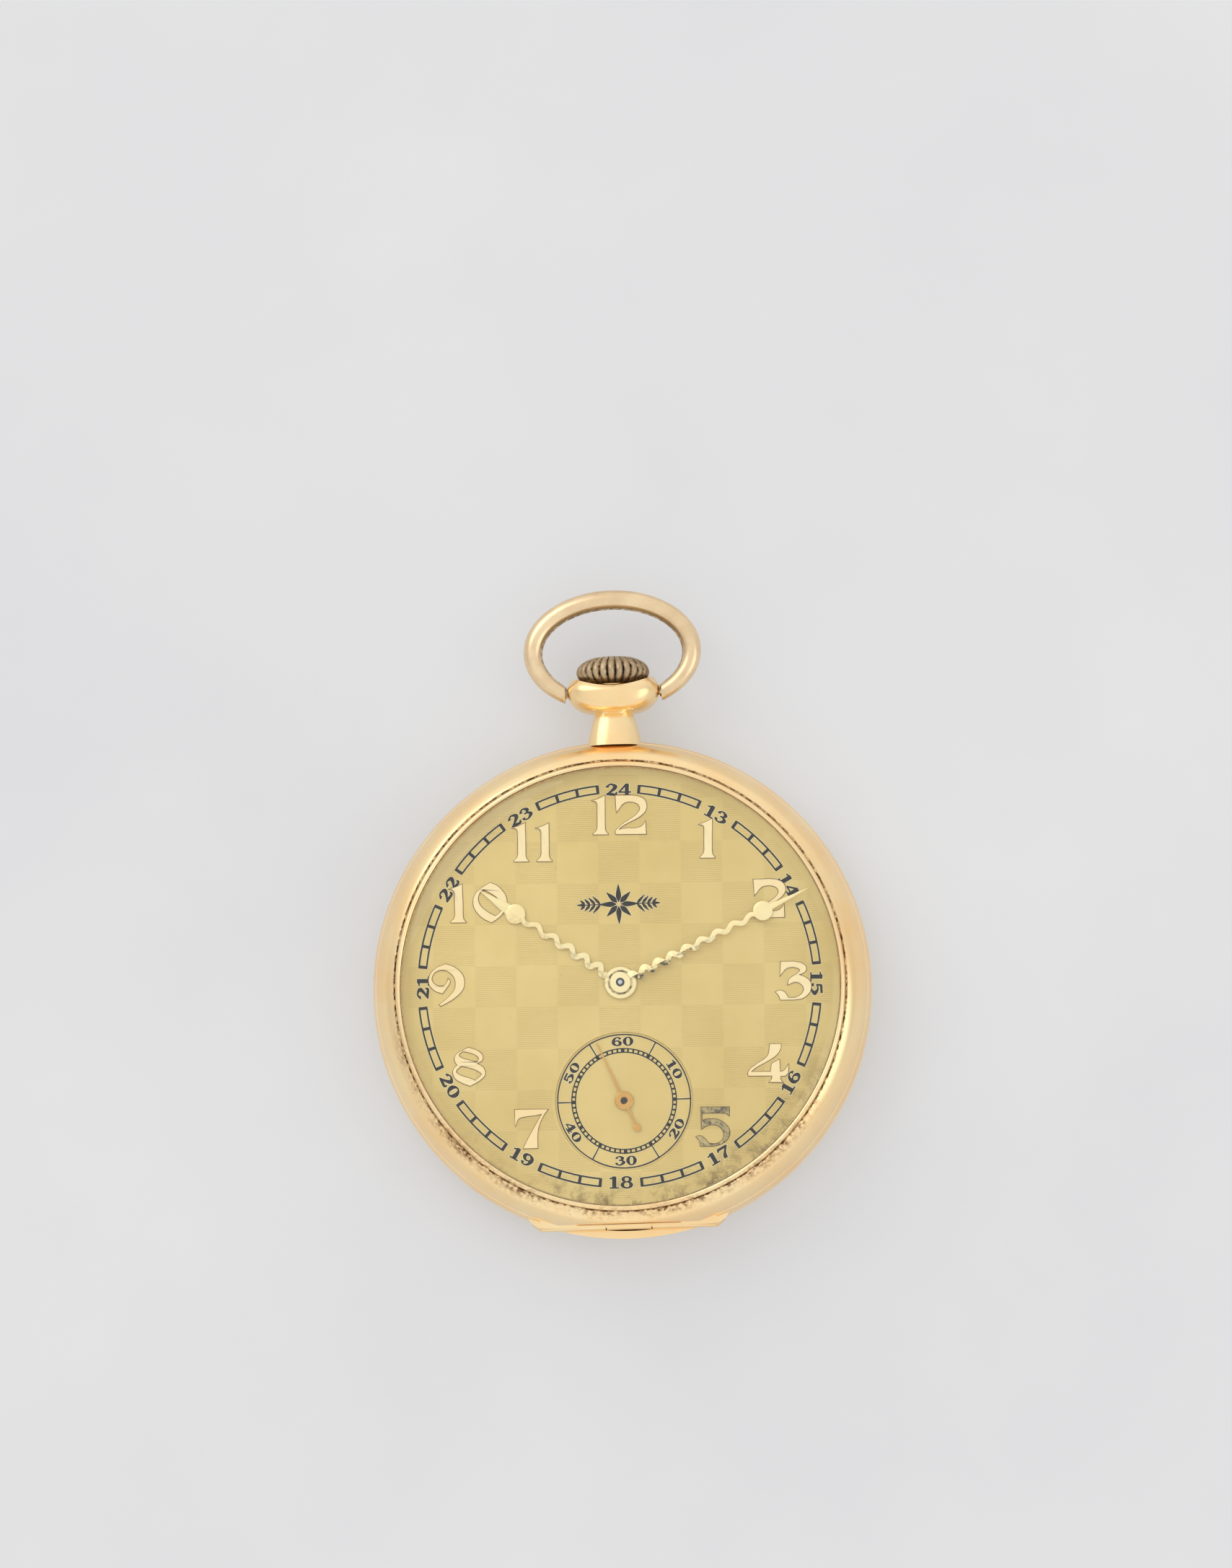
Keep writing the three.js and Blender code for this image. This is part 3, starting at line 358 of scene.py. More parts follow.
def striped_nickel():
    """Nickel plate with broad ground stripes across the bridges."""
    material = worn_metal("striped_nickel", colour(226, 224, 218), colour(206, 204, 198), 0.2, 0.08)
    tree = material.node_tree
    x, y, _ = split_place(tree)
    across = maths(tree, "ADD", maths(tree, "MULTIPLY", x, 0.94), maths(tree, "MULTIPLY", y, 0.34))
    stripe = maths(tree, "FRACT", maths(tree, "DIVIDE", across, STRIPE_WIDTH))
    arch = maths(tree, "MULTIPLY", stripe, maths(tree, "SUBTRACT", 1.0, stripe))
    grain = noise(tree, add(tree, "ShaderNodeMapping", None, Vector=object_place(tree),
                            Rotation=(0, 0, -0.35), Scale=(1.0, 30.0, 1.0)).outputs[0], 500.0, 2.0)
    height = maths(tree, "MULTIPLY_ADD", grain, 0.15, maths(tree, "MULTIPLY", arch, 4.0))
    relief(tree, tree.nodes["Principled BSDF"], height, 0.5, 0.00003)
    return material


nickel = striped_nickel()


def ruby():
    material, tree, shader = new_material("ruby")
    cloud = noise(tree, object_place(tree), 700.0)
    tint = blend_colour(tree, cloud, colour(196, 24, 74), colour(150, 10, 50))
    put(tree, shader.inputs["Base Color"], tint)
    put(tree, shader.inputs["Roughness"], scale_to(tree, cloud, 0, 1, 0.04, 0.12))
    shader.inputs["Coat Weight"].default_value = 1.0
    return material


ruby_red = ruby()


def clear_glass():
    """Clear crystal. Shadow rays pass, so the dial under it is lit as through thin glass."""
    material, tree, shader = new_material("crystal_glass")
    dust = noise(tree, object_place(tree), 900.0, 6.0, 0.7)
    put(tree, shader.inputs["Roughness"], scale_to(tree, dust, 0.66, 0.9, 0.0, 0.12))
    shader.inputs["Base Color"].default_value = (1, 1, 1, 1)
    shader.inputs["Metallic"].default_value = 0.0
    shader.inputs["Transmission Weight"].default_value = 1.0
    shader.inputs["IOR"].default_value = 1.49
    seen = tree.nodes["Material Output"]
    through = tree.nodes.new("ShaderNodeBsdfTransparent")
    mix = add(tree, "ShaderNodeMixShader", None,
              _0=tree.nodes.new("ShaderNodeLightPath").outputs["Is Shadow Ray"],
              _1=shader.outputs[0], _2=through.outputs[0])
    put(tree, seen.inputs["Surface"], mix.outputs[0])
    return material


crystal_glass = clear_glass()
CHECK = 3.97         # side of the dial's squares
LINE_PITCH = 0.187   # from line to line in a filled square


def dial_finish():
    """Gilt dial, engine turned: every other square is filled with fine level lines."""
    material, tree, shader = new_material("dial_gilt")
    place = object_place(tree)
    turned_place = add(tree, "ShaderNodeMapping", {"vector_type": "TEXTURE"}, Vector=place,
                       Location=(DIAL_PRINT.x * MM, DIAL_PRINT.y * MM, 0),
                       Rotation=(0, 0, math.radians(DIAL_TURN))).outputs[0]
    parts = add(tree, "ShaderNodeSeparateXYZ", None, _0=turned_place).outputs
    x, y = (maths(tree, "MULTIPLY", part, 1 / MM) for part in parts[:2])
    column = maths(tree, "FLOOR", maths(tree, "ADD", maths(tree, "DIVIDE", x, CHECK), 0.5))
    row = maths(tree, "FLOOR", maths(tree, "ADD", maths(tree, "DIVIDE", y, CHECK), 0.5))
    odd = maths(tree, "ABSOLUTE", maths(tree, "MODULO", maths(tree, "ADD", column, row), 2.0))
    radius = distance(tree, x, y)
    inside = scale_to(tree, radius, 20.1, 20.3, 1.0, 0.0)
    from_seconds = distance(tree, maths(tree, "SUBTRACT", x, SECONDS.x - DIAL_PRINT.x),
                            maths(tree, "SUBTRACT", y, SECONDS.y - DIAL_PRINT.y))
    outside_small = scale_to(tree, from_seconds, SUBDIAL_RADIUS - 0.02, SUBDIAL_RADIUS + 0.02)
    lined = maths(tree, "MULTIPLY", odd, maths(tree, "MULTIPLY", inside, outside_small))
    wave = maths(tree, "SINE", maths(tree, "MULTIPLY", y, TURN / LINE_PITCH))
    line = maths(tree, "MULTIPLY", lined, scale_to(tree, wave, -0.2, 0.9))
    cloud = noise(tree, place, 90.0, 5.0)
    fine = noise(tree, place, 3000.0, 3.0)
    gilt = blend_colour(tree, scale_to(tree, cloud, 0.3, 0.7), colour(232, 208, 135), colour(222, 196, 120))
    gilt = blend_colour(tree, maths(tree, "MULTIPLY", line, 0.36), gilt, colour(188, 156, 88))
    rim = scale_to(tree, radius, 18.2, 20.6)
    low = near_angle(tree, 282, 66)
    blotch = scale_to(tree, noise(tree, place, 420.0, 6.0, 0.75), 0.47, 0.62)
    tarnish = maths(tree, "MULTIPLY", maths(tree, "MULTIPLY", rim, low), blotch)
    gilt = blend_colour(tree, maths(tree, "MULTIPLY", tarnish, 0.75), gilt, colour(112, 88, 40))
    spots = scale_to(tree, noise(tree, place, 1300.0, 5.0, 0.7), 0.69, 0.75)
    gilt = blend_colour(tree, maths(tree, "MULTIPLY", spots, 0.5), gilt, colour(120, 98, 52))
    put(tree, shader.inputs["Base Color"], gilt)
    rough = maths(tree, "MULTIPLY_ADD", cloud, 0.12, 0.42)
    put(tree, shader.inputs["Roughness"], maths(tree, "MULTIPLY_ADD", tarnish, 0.3, rough))
    shader.inputs["Metallic"].default_value = 0.75
    height = maths(tree, "MULTIPLY_ADD", line, -1.0, maths(tree, "MULTIPLY", fine, 0.3))
    relief(tree, shader, height, 0.35, 0.00002)
    return material


dial_gilt = dial_finish()


def ink(name, strong, thin, rough):
    """A matte finish, slightly worn through: printed ink, and the painted shadow round the raised numbers."""
    material, tree, shader = new_material(name)
    wear = scale_to(tree, noise(tree, object_place(tree), 2600.0, 4.0), 0.55, 0.75)
    put(tree, shader.inputs["Base Color"], blend_colour(tree, wear, strong, thin))
    put(tree, shader.inputs["Roughness"], scale_to(tree, wear, 0, 1, rough, rough + 0.2))
    shader.inputs["Specular IOR Level"].default_value = 0.05
    return material


black_ink = ink("black_ink", colour(16, 12, 8), colour(64, 54, 38), 0.6)
cream_ink = ink("cream_ink", colour(238, 222, 168), colour(226, 206, 146), 0.6)
# A painted shadow: dark brown round the foot of each raised number.
numeral_shadow_brown = ink("numeral_shadow_brown", colour(118, 92, 48), colour(150, 122, 68), 0.6)


# ------------------------------------------------------------------ mesh helpers


def piece(name, mesh, material, body, slot, *nodes):
    """A finished piece on its body, standing for CAD nodes."""
    made = bpy.data.objects.new(name, mesh)
    bpy.context.scene.collection.objects.link(made)
    mesh.materials.clear()
    mesh.materials.append(material)
    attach(made, body)
    if nodes:
        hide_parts(*nodes)
    return made


def smooth(mesh, angle):
    mesh.shade_smooth()
    mesh.set_sharp_from_angle(angle=math.radians(angle))
    return mesh


def mesh_from(bm, name, angle=SHARP):
    """A mesh of everything built so far, with outward faces."""
    bmesh.ops.remove_doubles(bm, verts=bm.verts, dist=SAME_PLACE)
    bmesh.ops.recalc_face_normals(bm, faces=bm.faces)
    mesh = bpy.data.meshes.new(name)
    bm.to_mesh(mesh)
    bm.free()
    return smooth(mesh, angle)


def joined(name, angle, *meshes):
    """Several meshes as one."""
    whole = bmesh.new()
    for mesh in meshes:
        whole.from_mesh(mesh)
    return mesh_from(whole, name, angle)


def single(make, *sizes):
    """A mesh of one closed box or rod, to be joined to a part or cut from it."""
    bm = bmesh.new()
    make(bm, *sizes)
    return mesh_from(bm, "single")


def bridge(bm, here, there):
    """Faces between two closed rings with the same number of points."""
    for i in range(len(here)):
        j = (i + 1) % len(here)
        bm.faces.new((here[i], here[j], there[j], there[i]))


def set_on(centre, heading=0.0):
    """The matrix that takes a shape from the origin to a centre on the dial, turned by a heading."""
    return (Matrix.Translation(Vector((centre.x, centre.y, 0)) * MM)
            @ Matrix.Rotation(math.radians(heading), 4, "Z"))


def curve(start, control, end, steps=10):
    """Points of a quadratic curve, both ends included."""
    points = []
    for i in range(steps + 1):
        t = i / steps
        points.append(tuple(
            (1 - t) ** 2 * a + 2 * t * (1 - t) * b + t * t * c
            for a, b, c in zip(start, control, end)))
    return points


def turned(name, profile, sides=192):
    return mesh_from(turned_bm(profile, sides), name)


def turned_bm(profile, sides):
    """A closed profile of (radius, height) turned about Z. Points on the axis close it."""
    bm = bmesh.new()
    rows = []
    for side in range(sides):
        angle = TURN * side / sides
        rows.append([bm.verts.new((r * math.cos(angle) * MM, r * math.sin(angle) * MM, z * MM))
                     for r, z in profile])
    on_axis = [radius < 1e-6 for radius, _ in profile]
    for here, there in zip(rows, rows[1:] + rows[:1]):
        for i in range(len(profile)):
            j = (i + 1) % len(profile)
            if on_axis[i] and on_axis[j]:
                continue
            corners = [here[i], there[i], there[j], here[j]]
            if on_axis[i]:
                corners = [here[i], there[j], here[j]]
            elif on_axis[j]:
                corners = [here[i], there[i], here[j]]
            bm.faces.new(corners)
    return bm


def rod_x(bm, radius, x0, x1, y, z, sides=32):
    """Adds a closed rod along X."""
    made = bmesh.ops.create_cone(bm, cap_ends=True, segments=sides, radius1=radius * MM,
                                 radius2=radius * MM, depth=(x1 - x0) * MM)
    turn = Matrix.Rotation(math.pi / 2, 4, "Y")
    shift = Matrix.Translation(Vector(((x0 + x1) / 2, y, z)) * MM)
    bmesh.ops.transform(bm, matrix=shift @ turn, verts=made["verts"])


def box_in(bm, low, high):
    """Adds a closed box between two corners."""
    made = bmesh.ops.create_cube(bm, size=1.0)
    size = [(b - a) * MM for a, b in zip(low, high)]
    middle = [(a + b) / 2 * MM for a, b in zip(low, high)]
    matrix = Matrix.Translation(middle) @ Matrix.Diagonal((*size, 1.0))
    bmesh.ops.transform(bm, matrix=matrix, verts=made["verts"])


def combined(mesh, other, operation, name, angle=SHARP):
    """A boolean of two closed meshes."""
    first = bpy.data.objects.new("first", mesh)
    second = bpy.data.objects.new("second", other)
    for made in (first, second):
        bpy.context.scene.collection.objects.link(made)
    modifier = first.modifiers.new("combine", "BOOLEAN")
    modifier.operation = operation
    modifier.solver = "EXACT"
    modifier.object = second
    view = bpy.context.evaluated_depsgraph_get()
    result = bpy.data.meshes.new_from_object(first.evaluated_get(view))
    result.name = name
    for made in (first, second):
        bpy.data.objects.remove(made)
    return smooth(result, angle)


def prism(bm, outline, low, high):
    """Adds a closed prism over an anticlockwise outline of (x, y)."""
    bottom = [bm.verts.new((x * MM, y * MM, low * MM)) for x, y in outline]
    top = [bm.verts.new((x * MM, y * MM, high * MM)) for x, y in outline]
    bm.faces.new(list(reversed(bottom)))
    bm.faces.new(top)
    bridge(bm, bottom, top)


# ------------------------------------------------------------------ case


def bezel_mesh():
    slope = curve((23.64, 6.02), (23.3, 8.0), (21.83, 8.8), 20)
    groove = [(21.78, 8.78), (21.76, 8.5), (21.67, 8.5), (21.65, 8.8)]
    lip = curve((21.64, 8.84), (21.4, 9.24), (21.14, 8.98), 10)
    rehaut = [(21.12, 8.5), (20.98, 8.49), (20.66, 7.64)]
    foot = [(21.85, 7.62), (21.85, 5.97), (23.6, 5.97)]
    mesh = turned("bezel", foot + slope + groove + lip + rehaut, 256)
    hinge_room = single(box_in, (-8.35, -26, 5), (8.35, COVER_HINGE.y, 11))
    return combined(mesh, hinge_room, "DIFFERENCE", "bezel")


def case_middle_mesh():
    outside = curve((CASE_RADIUS - 0.06, 3.98), (CASE_RADIUS + 0.05, 4.4), (CASE_RADIUS - 0.05, 4.8), 8)
    shoulder = curve((CASE_RADIUS - 0.07, 4.9), (23.9, 5.4), (23.7, 5.9), 6)
    profile = [(21.2, 2.87), (22.1, 2.87), (22.6, 3.27), (22.7, 3.97), *outside, *shoulder,
               (21.76, 5.9), (21.76, 7.5), (21.06, 7.5), (21.06, 5.87), (20.32, 5.85),
               (20.32, 5.0), (20.9, 4.92), (20.9, 3.2)]
    mesh = turned("case_middle", profile, 256)
    hinge_rooms = (
        single(rod_x, 1.4, -8.5, 8.5, COVER_HINGE.y, COVER_HINGE.z, 48),
        single(box_in, (-8.5, -25, 3.9), (8.5, COVER_HINGE.y, 6)),
        single(box_in, (-4.6, -23.2, 2.6), (4.6, -20.95, 3.65)),
    )
    for room in hinge_rooms:
        mesh = combined(mesh, room, "DIFFERENCE", "case_middle")
    return mesh


KNUCKLE = 0.5
CUVETTE_KNUCKLE = 0.45


def hinge_strip_mesh():
    """The two outer knuckles with their webs and the tapered wings beside them."""
    y, z = COVER_HINGE.y, COVER_HINGE.z
    bm = bmesh.new()
    for side in (-1, 1):
        x0, x1 = sorted((side * 2.25, side * 8.3))
        rod_x(bm, KNUCKLE, x0, x1, y, z)
        box_in(bm, (x0, y, z + 0.02), (x1, -21.1, z + KNUCKLE - 0.02))
        near, far = sorted((side * 1.1, side * 2.6))
        rod_x(bm, CUVETTE_KNUCKLE, near, far, CUVETTE_HINGE.y, CUVETTE_HINGE.z, 24)
        box_in(bm, (near, CUVETTE_HINGE.y + 0.1, CUVETTE_HINGE.z), (far, -20.95, CUVETTE_HINGE.z + 1.1))
        wing(bm, side)
    return mesh_from(bm, "hinge_strip", 30)


def wing(bm, side):
    """Tapers from the knuckle's end to a point that lies along the rim."""
    y, z = COVER_HINGE.y, COVER_HINGE.z
    rows = [
        [(4.6, y - 0.4, z), (4.6, y - 0.3, z + 0.42), (4.6, y + 0.45, z + 0.48), (4.6, y + 0.5, z - 0.3)],
        [(8.2, y - 0.5, z - 0.1), (8.1, y - 0.2, z + 0.7),
         (8.2, y + 0.62, z + 0.95), (8.3, y + 0.8, z - 0.3)],
        [(8.6, y - 0.45, z - 0.1), (8.8, y - 0.1, z + 0.66),
         (9.1, y + 0.8, z + 0.95), (9.2, y + 0.9, z - 0.3)],
        [(9.2, y + 0.1, z), (9.35, y + 0.3, z + 0.5), (9.75, y + 0.95, z + 0.8), (9.7, y + 1.0, z - 0.2)],
    ]
    rings = [[bm.verts.new(Vector((side * px, py, pz)) * MM) for px, py, pz in row] for row in rows]
    bm.faces.new(rings[0])
    bm.faces.new(rings[-1])
    for here, there in zip(rings, rings[1:]):
        bridge(bm, here, there)


def rear_cover_mesh():
    outside = [(0, 0), (9, 0)] + curve((9.1, 0.0), (17.5, 0.25), (21.5, 1.35), 14)
    outside += curve((21.6, 1.38), (23.9, 2.1), (CASE_RADIUS, 3.88), 12)
    inside = [(23.25, 3.88)] + curve((23.1, 3.3), (22.8, 2.5), (20.5, 1.78), 8)
    inside += curve((20.3, 1.72), (15.5, 0.72), (9, 0.5), 8) + [(0, 0.5)]
    y, z = COVER_HINGE.y, COVER_HINGE.z
    mesh = turned("rear_cover", outside + inside, 256)
    room = single(box_in, (-9.9, y - KNUCKLE - 0.03, z - 0.8), (9.9, y + 1.6, z + 1))
    mesh = combined(mesh, room, "DIFFERENCE", "rear_cover")
    web = single(box_in, (-2.15, y - KNUCKLE * 0.9, z - 1.6), (2.15, y + KNUCKLE * 0.5, z))
    mesh = combined(mesh, web, "UNION", "rear_cover")
    return combined(mesh, single(rod_x, KNUCKLE, -2.15, 2.15, y, z), "UNION", "rear_cover")


def cuvette_mesh():
    profile = [(0, 1.25)] + curve((16, 1.27), (19.5, 1.4), (20.2, 1.95), 6)
    profile += [(20.7, 2.35), (21.8, 2.45), (21.8, 2.78), (20.5, 2.7)]
    profile += curve((19.8, 2.2), (19.0, 1.72), (16, 1.62), 6) + [(0, 1.6)]
    y, z = CUVETTE_HINGE.y, CUVETTE_HINGE.z
    mesh = turned("cuvette", profile)
    mesh = combined(mesh, single(rod_x, 0.55, -3.2, 3.2, y, z, 24), "DIFFERENCE", "cuvette")
    mesh = combined(mesh, single(rod_x, CUVETTE_KNUCKLE, -1.0, 1.0, y, z, 24), "UNION", "cuvette")
    web = single(box_in, (-1.0, y - 0.15, z - 0.6), (1.0, y + 0.5, z - 0.1))
    return combined(mesh, web, "UNION", "cuvette")


def crystal_mesh():
    top = curve((21.05, 8.98), (20.6, 9.5), (17.5, 9.82), 6)
    top += curve((17.0, 9.85), (9.0, 10.05), (0, 10.05), 8)
    under = curve((0, 9.25), (12.0, 9.25), (21.05, 8.56), 10)
    return turned("crystal", under + top)


NECK_TOP = 26.55
CUP_RIM = 30.05
CUP_RADIUS = 2.95
BALL_HALF_DEPTH = 3.75


def pendant_mesh():
    """Squared neck and cupped ball, its front and back flattened and its rim scooped."""
    neck = curve((2.62, 23.4), (2.4, 24.9), (1.86, 26.5), 10)
    ball = curve((2.0, 26.62), (3.5, 26.75), (4.15, 27.8), 10)
    ball += curve((4.3, 28.1), (4.75, 29.1), (3.95, CUP_RIM - 0.06), 14) + [(3.9, CUP_RIM)]
    cup = curve((3.76, CUP_RIM), (3.5, 29.6), (2.9, 29.28), 6) + [(0.75, 29.28), (0.75, 23.4)]
    profile = neck + ball + cup
    sides = 128
    bm = bmesh.new()
    rows = []
    for side in range(sides):
        angle = TURN * side / sides
        c, s = math.cos(angle), math.sin(angle)
        row = []
        for r, y in profile:
            square = 0.72 if 1.2 < r and y < NECK_TOP else 1.0
            x = r * math.copysign(abs(c) ** square, c)
            z = r * math.copysign(abs(s) ** square, s)
            if y > NECK_TOP and r > CUP_RADIUS:
                z = BALL_HALF_DEPTH * math.tanh(z / BALL_HALF_DEPTH)
            lowered = max(0.0, min(1.0, (y - 28.4) / 1.6)) if r > CUP_RADIUS else 0.0
            row.append(bm.verts.new((x * MM, (y - 0.95 * s * s * lowered) * MM, (z + STEM_Z) * MM)))
        rows.append(row)
    for here, there in zip(rows, rows[1:] + rows[:1]):
        bridge(bm, here, there)
    return mesh_from(bm, "pendant", 30)


# ------------------------------------------------------------------ bow and crown

BOW_MIDDLE = 32.6
BOW_HALF = (7.66, 5.07)   # half its width and half its height, at the middle of the wire
BOW_START = -55.2         # degrees from +X to the wire's right hand end


def bow_mesh():
    """A round wire bent to an oval, thinner and blunt at its ends, on two pins."""
    bm = bmesh.new()
    shade_and_dirt = bm.verts.layers.float.new("shade_and_dirt")
    sides, steps = 32, 96
    rows = []
    for step in range(steps + 1):
        t = step / steps
        angle = math.radians(BOW_START + (180 - 2 * BOW_START) * t)
        middle = Vector((BOW_HALF[0] * math.cos(angle), BOW_MIDDLE + BOW_HALF[1] * math.sin(angle), STEM_Z))
        along = Vector((-BOW_HALF[0] * math.sin(angle), BOW_HALF[1] * math.cos(angle), 0)).normalized()
        across = Vector((along.y, -along.x, 0))
        radius = 0.74 + 0.2 * min(1.0, min(t, 1 - t) * 4.2) ** 0.7
        row = []
        for side in range(sides):
            round_angle = TURN * side / sides
            out = math.cos(round_angle)
            place = middle + radius * (out * across + math.sin(round_angle) * Vector((0, 0, 1)))
            vert = bm.verts.new(place * MM)
            # Painted shade with some dirt: darker on the loop's inner side and near its ends at the pins.
            near_end = max(0.0, 1 - min(t, 1 - t) * 30)
            vert[shade_and_dirt] = max(0.0, min(1.0, (-out - 0.66) * 2.4)) + 0.5 * near_end
            row.append(vert)
        rows.append(row)
    for here, there in zip(rows, rows[1:]):
        bridge(bm, here, there)
    bm.faces.new(rows[0])
    bm.faces.new(rows[-1])
    wire = mesh_from(bm, "bow", 40)
    gap = single(rod_x, 6, -4.66, 4.66, BOW_PIVOT.y, STEM_Z, 48)
    wire = combined(wire, gap, "DIFFERENCE", "bow", 40)
    pins = bmesh.new()
    for side in (-1, 1):
        for radius, near, far in ((0.42, 3.3, 5.1), (0.6, 4.5, 4.7)):
            x0, x1 = sorted((side * near, side * far))
            rod_x(pins, radius, x0, x1, BOW_PIVOT.y, STEM_Z, 28)
    pins = mesh_from(pins, "pins", 40)
    # The pins are darkened all over: painted shade with some dirt.
    pins.attributes.new("shade_and_dirt", "FLOAT", "POINT").data.foreach_set("value", [0.8] * len(pins.vertices))
    return joined("bow", 40, wire, pins)


def spline(points, steps):
    """Catmull-Rom points through a list of tuples of any length."""
    ends = [points[0], *points, points[-1]]
    result = []
    for i in range(1, len(ends) - 2):
        a, b, c, d = ends[i - 1:i + 3]
        for k in range(steps):
            t = k / steps
            result.append(tuple(
                0.5 * (2 * q + (r - p) * t + (2 * p - 5 * q + 4 * r - s) * t * t
                       + (3 * q - p - 3 * r + s) * t ** 3)
                for p, q, r, s in zip(a, b, c, d)))
    return result + [tuple(points[-1])]


FLUTES = 26
FLUTE_DEPTH = 0.34


def crown_mesh():
    """A flattened onion of rounded flutes, with the depth of each groove kept as an amount of painted shade with
    some dirt.
    """
    profile = [(2.0, 29.3)] + curve((2.2, 29.33), (3.42, 29.75), (3.52, 30.55), 12)
    profile += curve((3.52, 30.7), (3.4, 31.55), (2.0, 31.98), 14) + [(1.2, 32.1), (0.5, 32.14)]
    sides = FLUTES * 12
    bm = bmesh.new()
    shade_and_dirt = bm.verts.layers.float.new("shade_and_dirt")
    rows = []
    for r, y in profile:
        row = []
        flute_depth = FLUTE_DEPTH * max(0.0, min(1.0, (r - 1.0) / 1.6))
        for side in range(sides):
            angle = TURN * side / sides
            hollow = 1 - abs(math.cos(FLUTES * angle / 2)) ** 0.6
            radius = r - flute_depth * hollow
            vert = bm.verts.new((radius * math.sin(angle) * MM, y * MM,
                                 (radius * math.cos(angle) + STEM_Z) * MM))
            # Painted shade with some dirt: darker down the grooves and near the crown's foot.
            low_down = max(0.0, 1 - (y - 29.3) / 1.0)
            vert[shade_and_dirt] = 1.5 * hollow * flute_depth / FLUTE_DEPTH + 0.3 * low_down
            row.append(vert)
        rows.append(row)
    for here, there in zip(rows, rows[1:]):
        bridge(bm, here, there)
    bm.faces.new(rows[0])
    bm.faces.new(rows[-1])
    return mesh_from(bm, "crown", 50)


# ------------------------------------------------------------------ dial


def dial_mesh():
    """The plate with the sunk seconds, turned about each centre and joined."""
    edge = curve((20.7, DIAL_TOP - 0.08), (20.69, DIAL_TOP), (20.6, DIAL_TOP), 3)
    plate = turned("dial", [(0, 7.1), (20.7, 7.1), *edge, (0, DIAL_TOP)])
    pan = turned("pan", [(0, 6.86), (6.9, 6.86), (6.9, 7.3), (0, 7.3)], 128)
    sink = turned("sink", [(0, SUBDIAL_FLOOR), (SUBDIAL_RADIUS - 0.06, SUBDIAL_FLOOR),
                           (SUBDIAL_RADIUS, DIAL_TOP - 0.05), (SUBDIAL_RADIUS + 0.05, 8), (0, 8)], 128)
    holes = bmesh.new()
    for centre, radius in ((HANDS, 1.15), (SECONDS, 0.36)):
        made = bmesh.ops.create_cone(holes, cap_ends=True, segments=48, radius1=radius * MM,
                                     radius2=radius * MM, depth=4 * MM)
        bmesh.ops.translate(holes, verts=made["verts"], vec=Vector((centre.x, centre.y, 7)) * MM)
    for part in (pan, sink):
        part.transform(set_on(SECONDS))
    whole = combined(plate, pan, "UNION", "dial")
    whole = combined(whole, sink, "DIFFERENCE", "dial")
    return combined(whole, mesh_from(holes, "holes"), "DIFFERENCE", "dial", 25)


def sector(bm, centre, inner, outer, start, end, low, high, steps=None):
    """Adds a flat block between two radii and two angles, in degrees clockwise from 12."""
    count = steps or max(1, int(abs(end - start) / 2))
    around = [math.radians(90 - start - (end - start) * i / count) for i in range(count + 1)]
    outline = [(centre.x + outer * math.cos(a), centre.y + outer * math.sin(a)) for a in around]
    outline += [(centre.x + inner * math.cos(a), centre.y + inner * math.sin(a)) for a in reversed(around)]
    prism(bm, outline, low, high)


def arc(length, radius):
    """The degrees that a length takes up at a radius."""
    return length / radius * RADIAN


RAIL = (18.55, 19.25)
SECONDS_RINGS = (6.385, 5.03, 4.68)


def bars(bm, centre, grow, low, high):
    """The rail of three boxes between each two of the outer hour numbers."""
    thin, thick = 0.075 + grow, 0.15 + grow
    for hour in range(12):
        start = hour * 30 - DIAL_TURN
        for radius in RAIL:
            sector(bm, centre, radius - thin, radius + thin, start + 6 - grow, start + 24 + grow, low, high)
        for minute in (1, 2, 3, 4):
            width = arc(thick, 18.9)
            place = start + minute * 6
            sector(bm, centre, 18.5, 19.3, place - width, place + width, low - 0.001, high - 0.001, 1)


def print_mesh(name, draw, low, thick, grow):
    bm = bmesh.new()
    draw(bm, grow, low, low + thick)
    return mesh_from(bm, name)


def seconds_track(bm, grow, low, high):
    centre = Vector((SECONDS.x, SECONDS.y))
    line = 0.06 + grow * 0.6
    for radius in SECONDS_RINGS:
        for quarter in range(4):
            sector(bm, centre, radius - line, radius + line, quarter * 90, quarter * 90 + 90, low, high, 24)
    for second in range(60):
        size = 2.0 if second % 5 == 0 else 1.0
        sector(bm, centre, 4.7, 5.01, second * 6 - size, second * 6 + size, low, high - 0.001, 2)
    for second in range(5, 60, 10):
        width = arc(0.06 + grow, 5.7)
        sector(bm, centre, 5.03, 6.385, second * 6 - width, second * 6 + width, low, high - 0.001, 1)


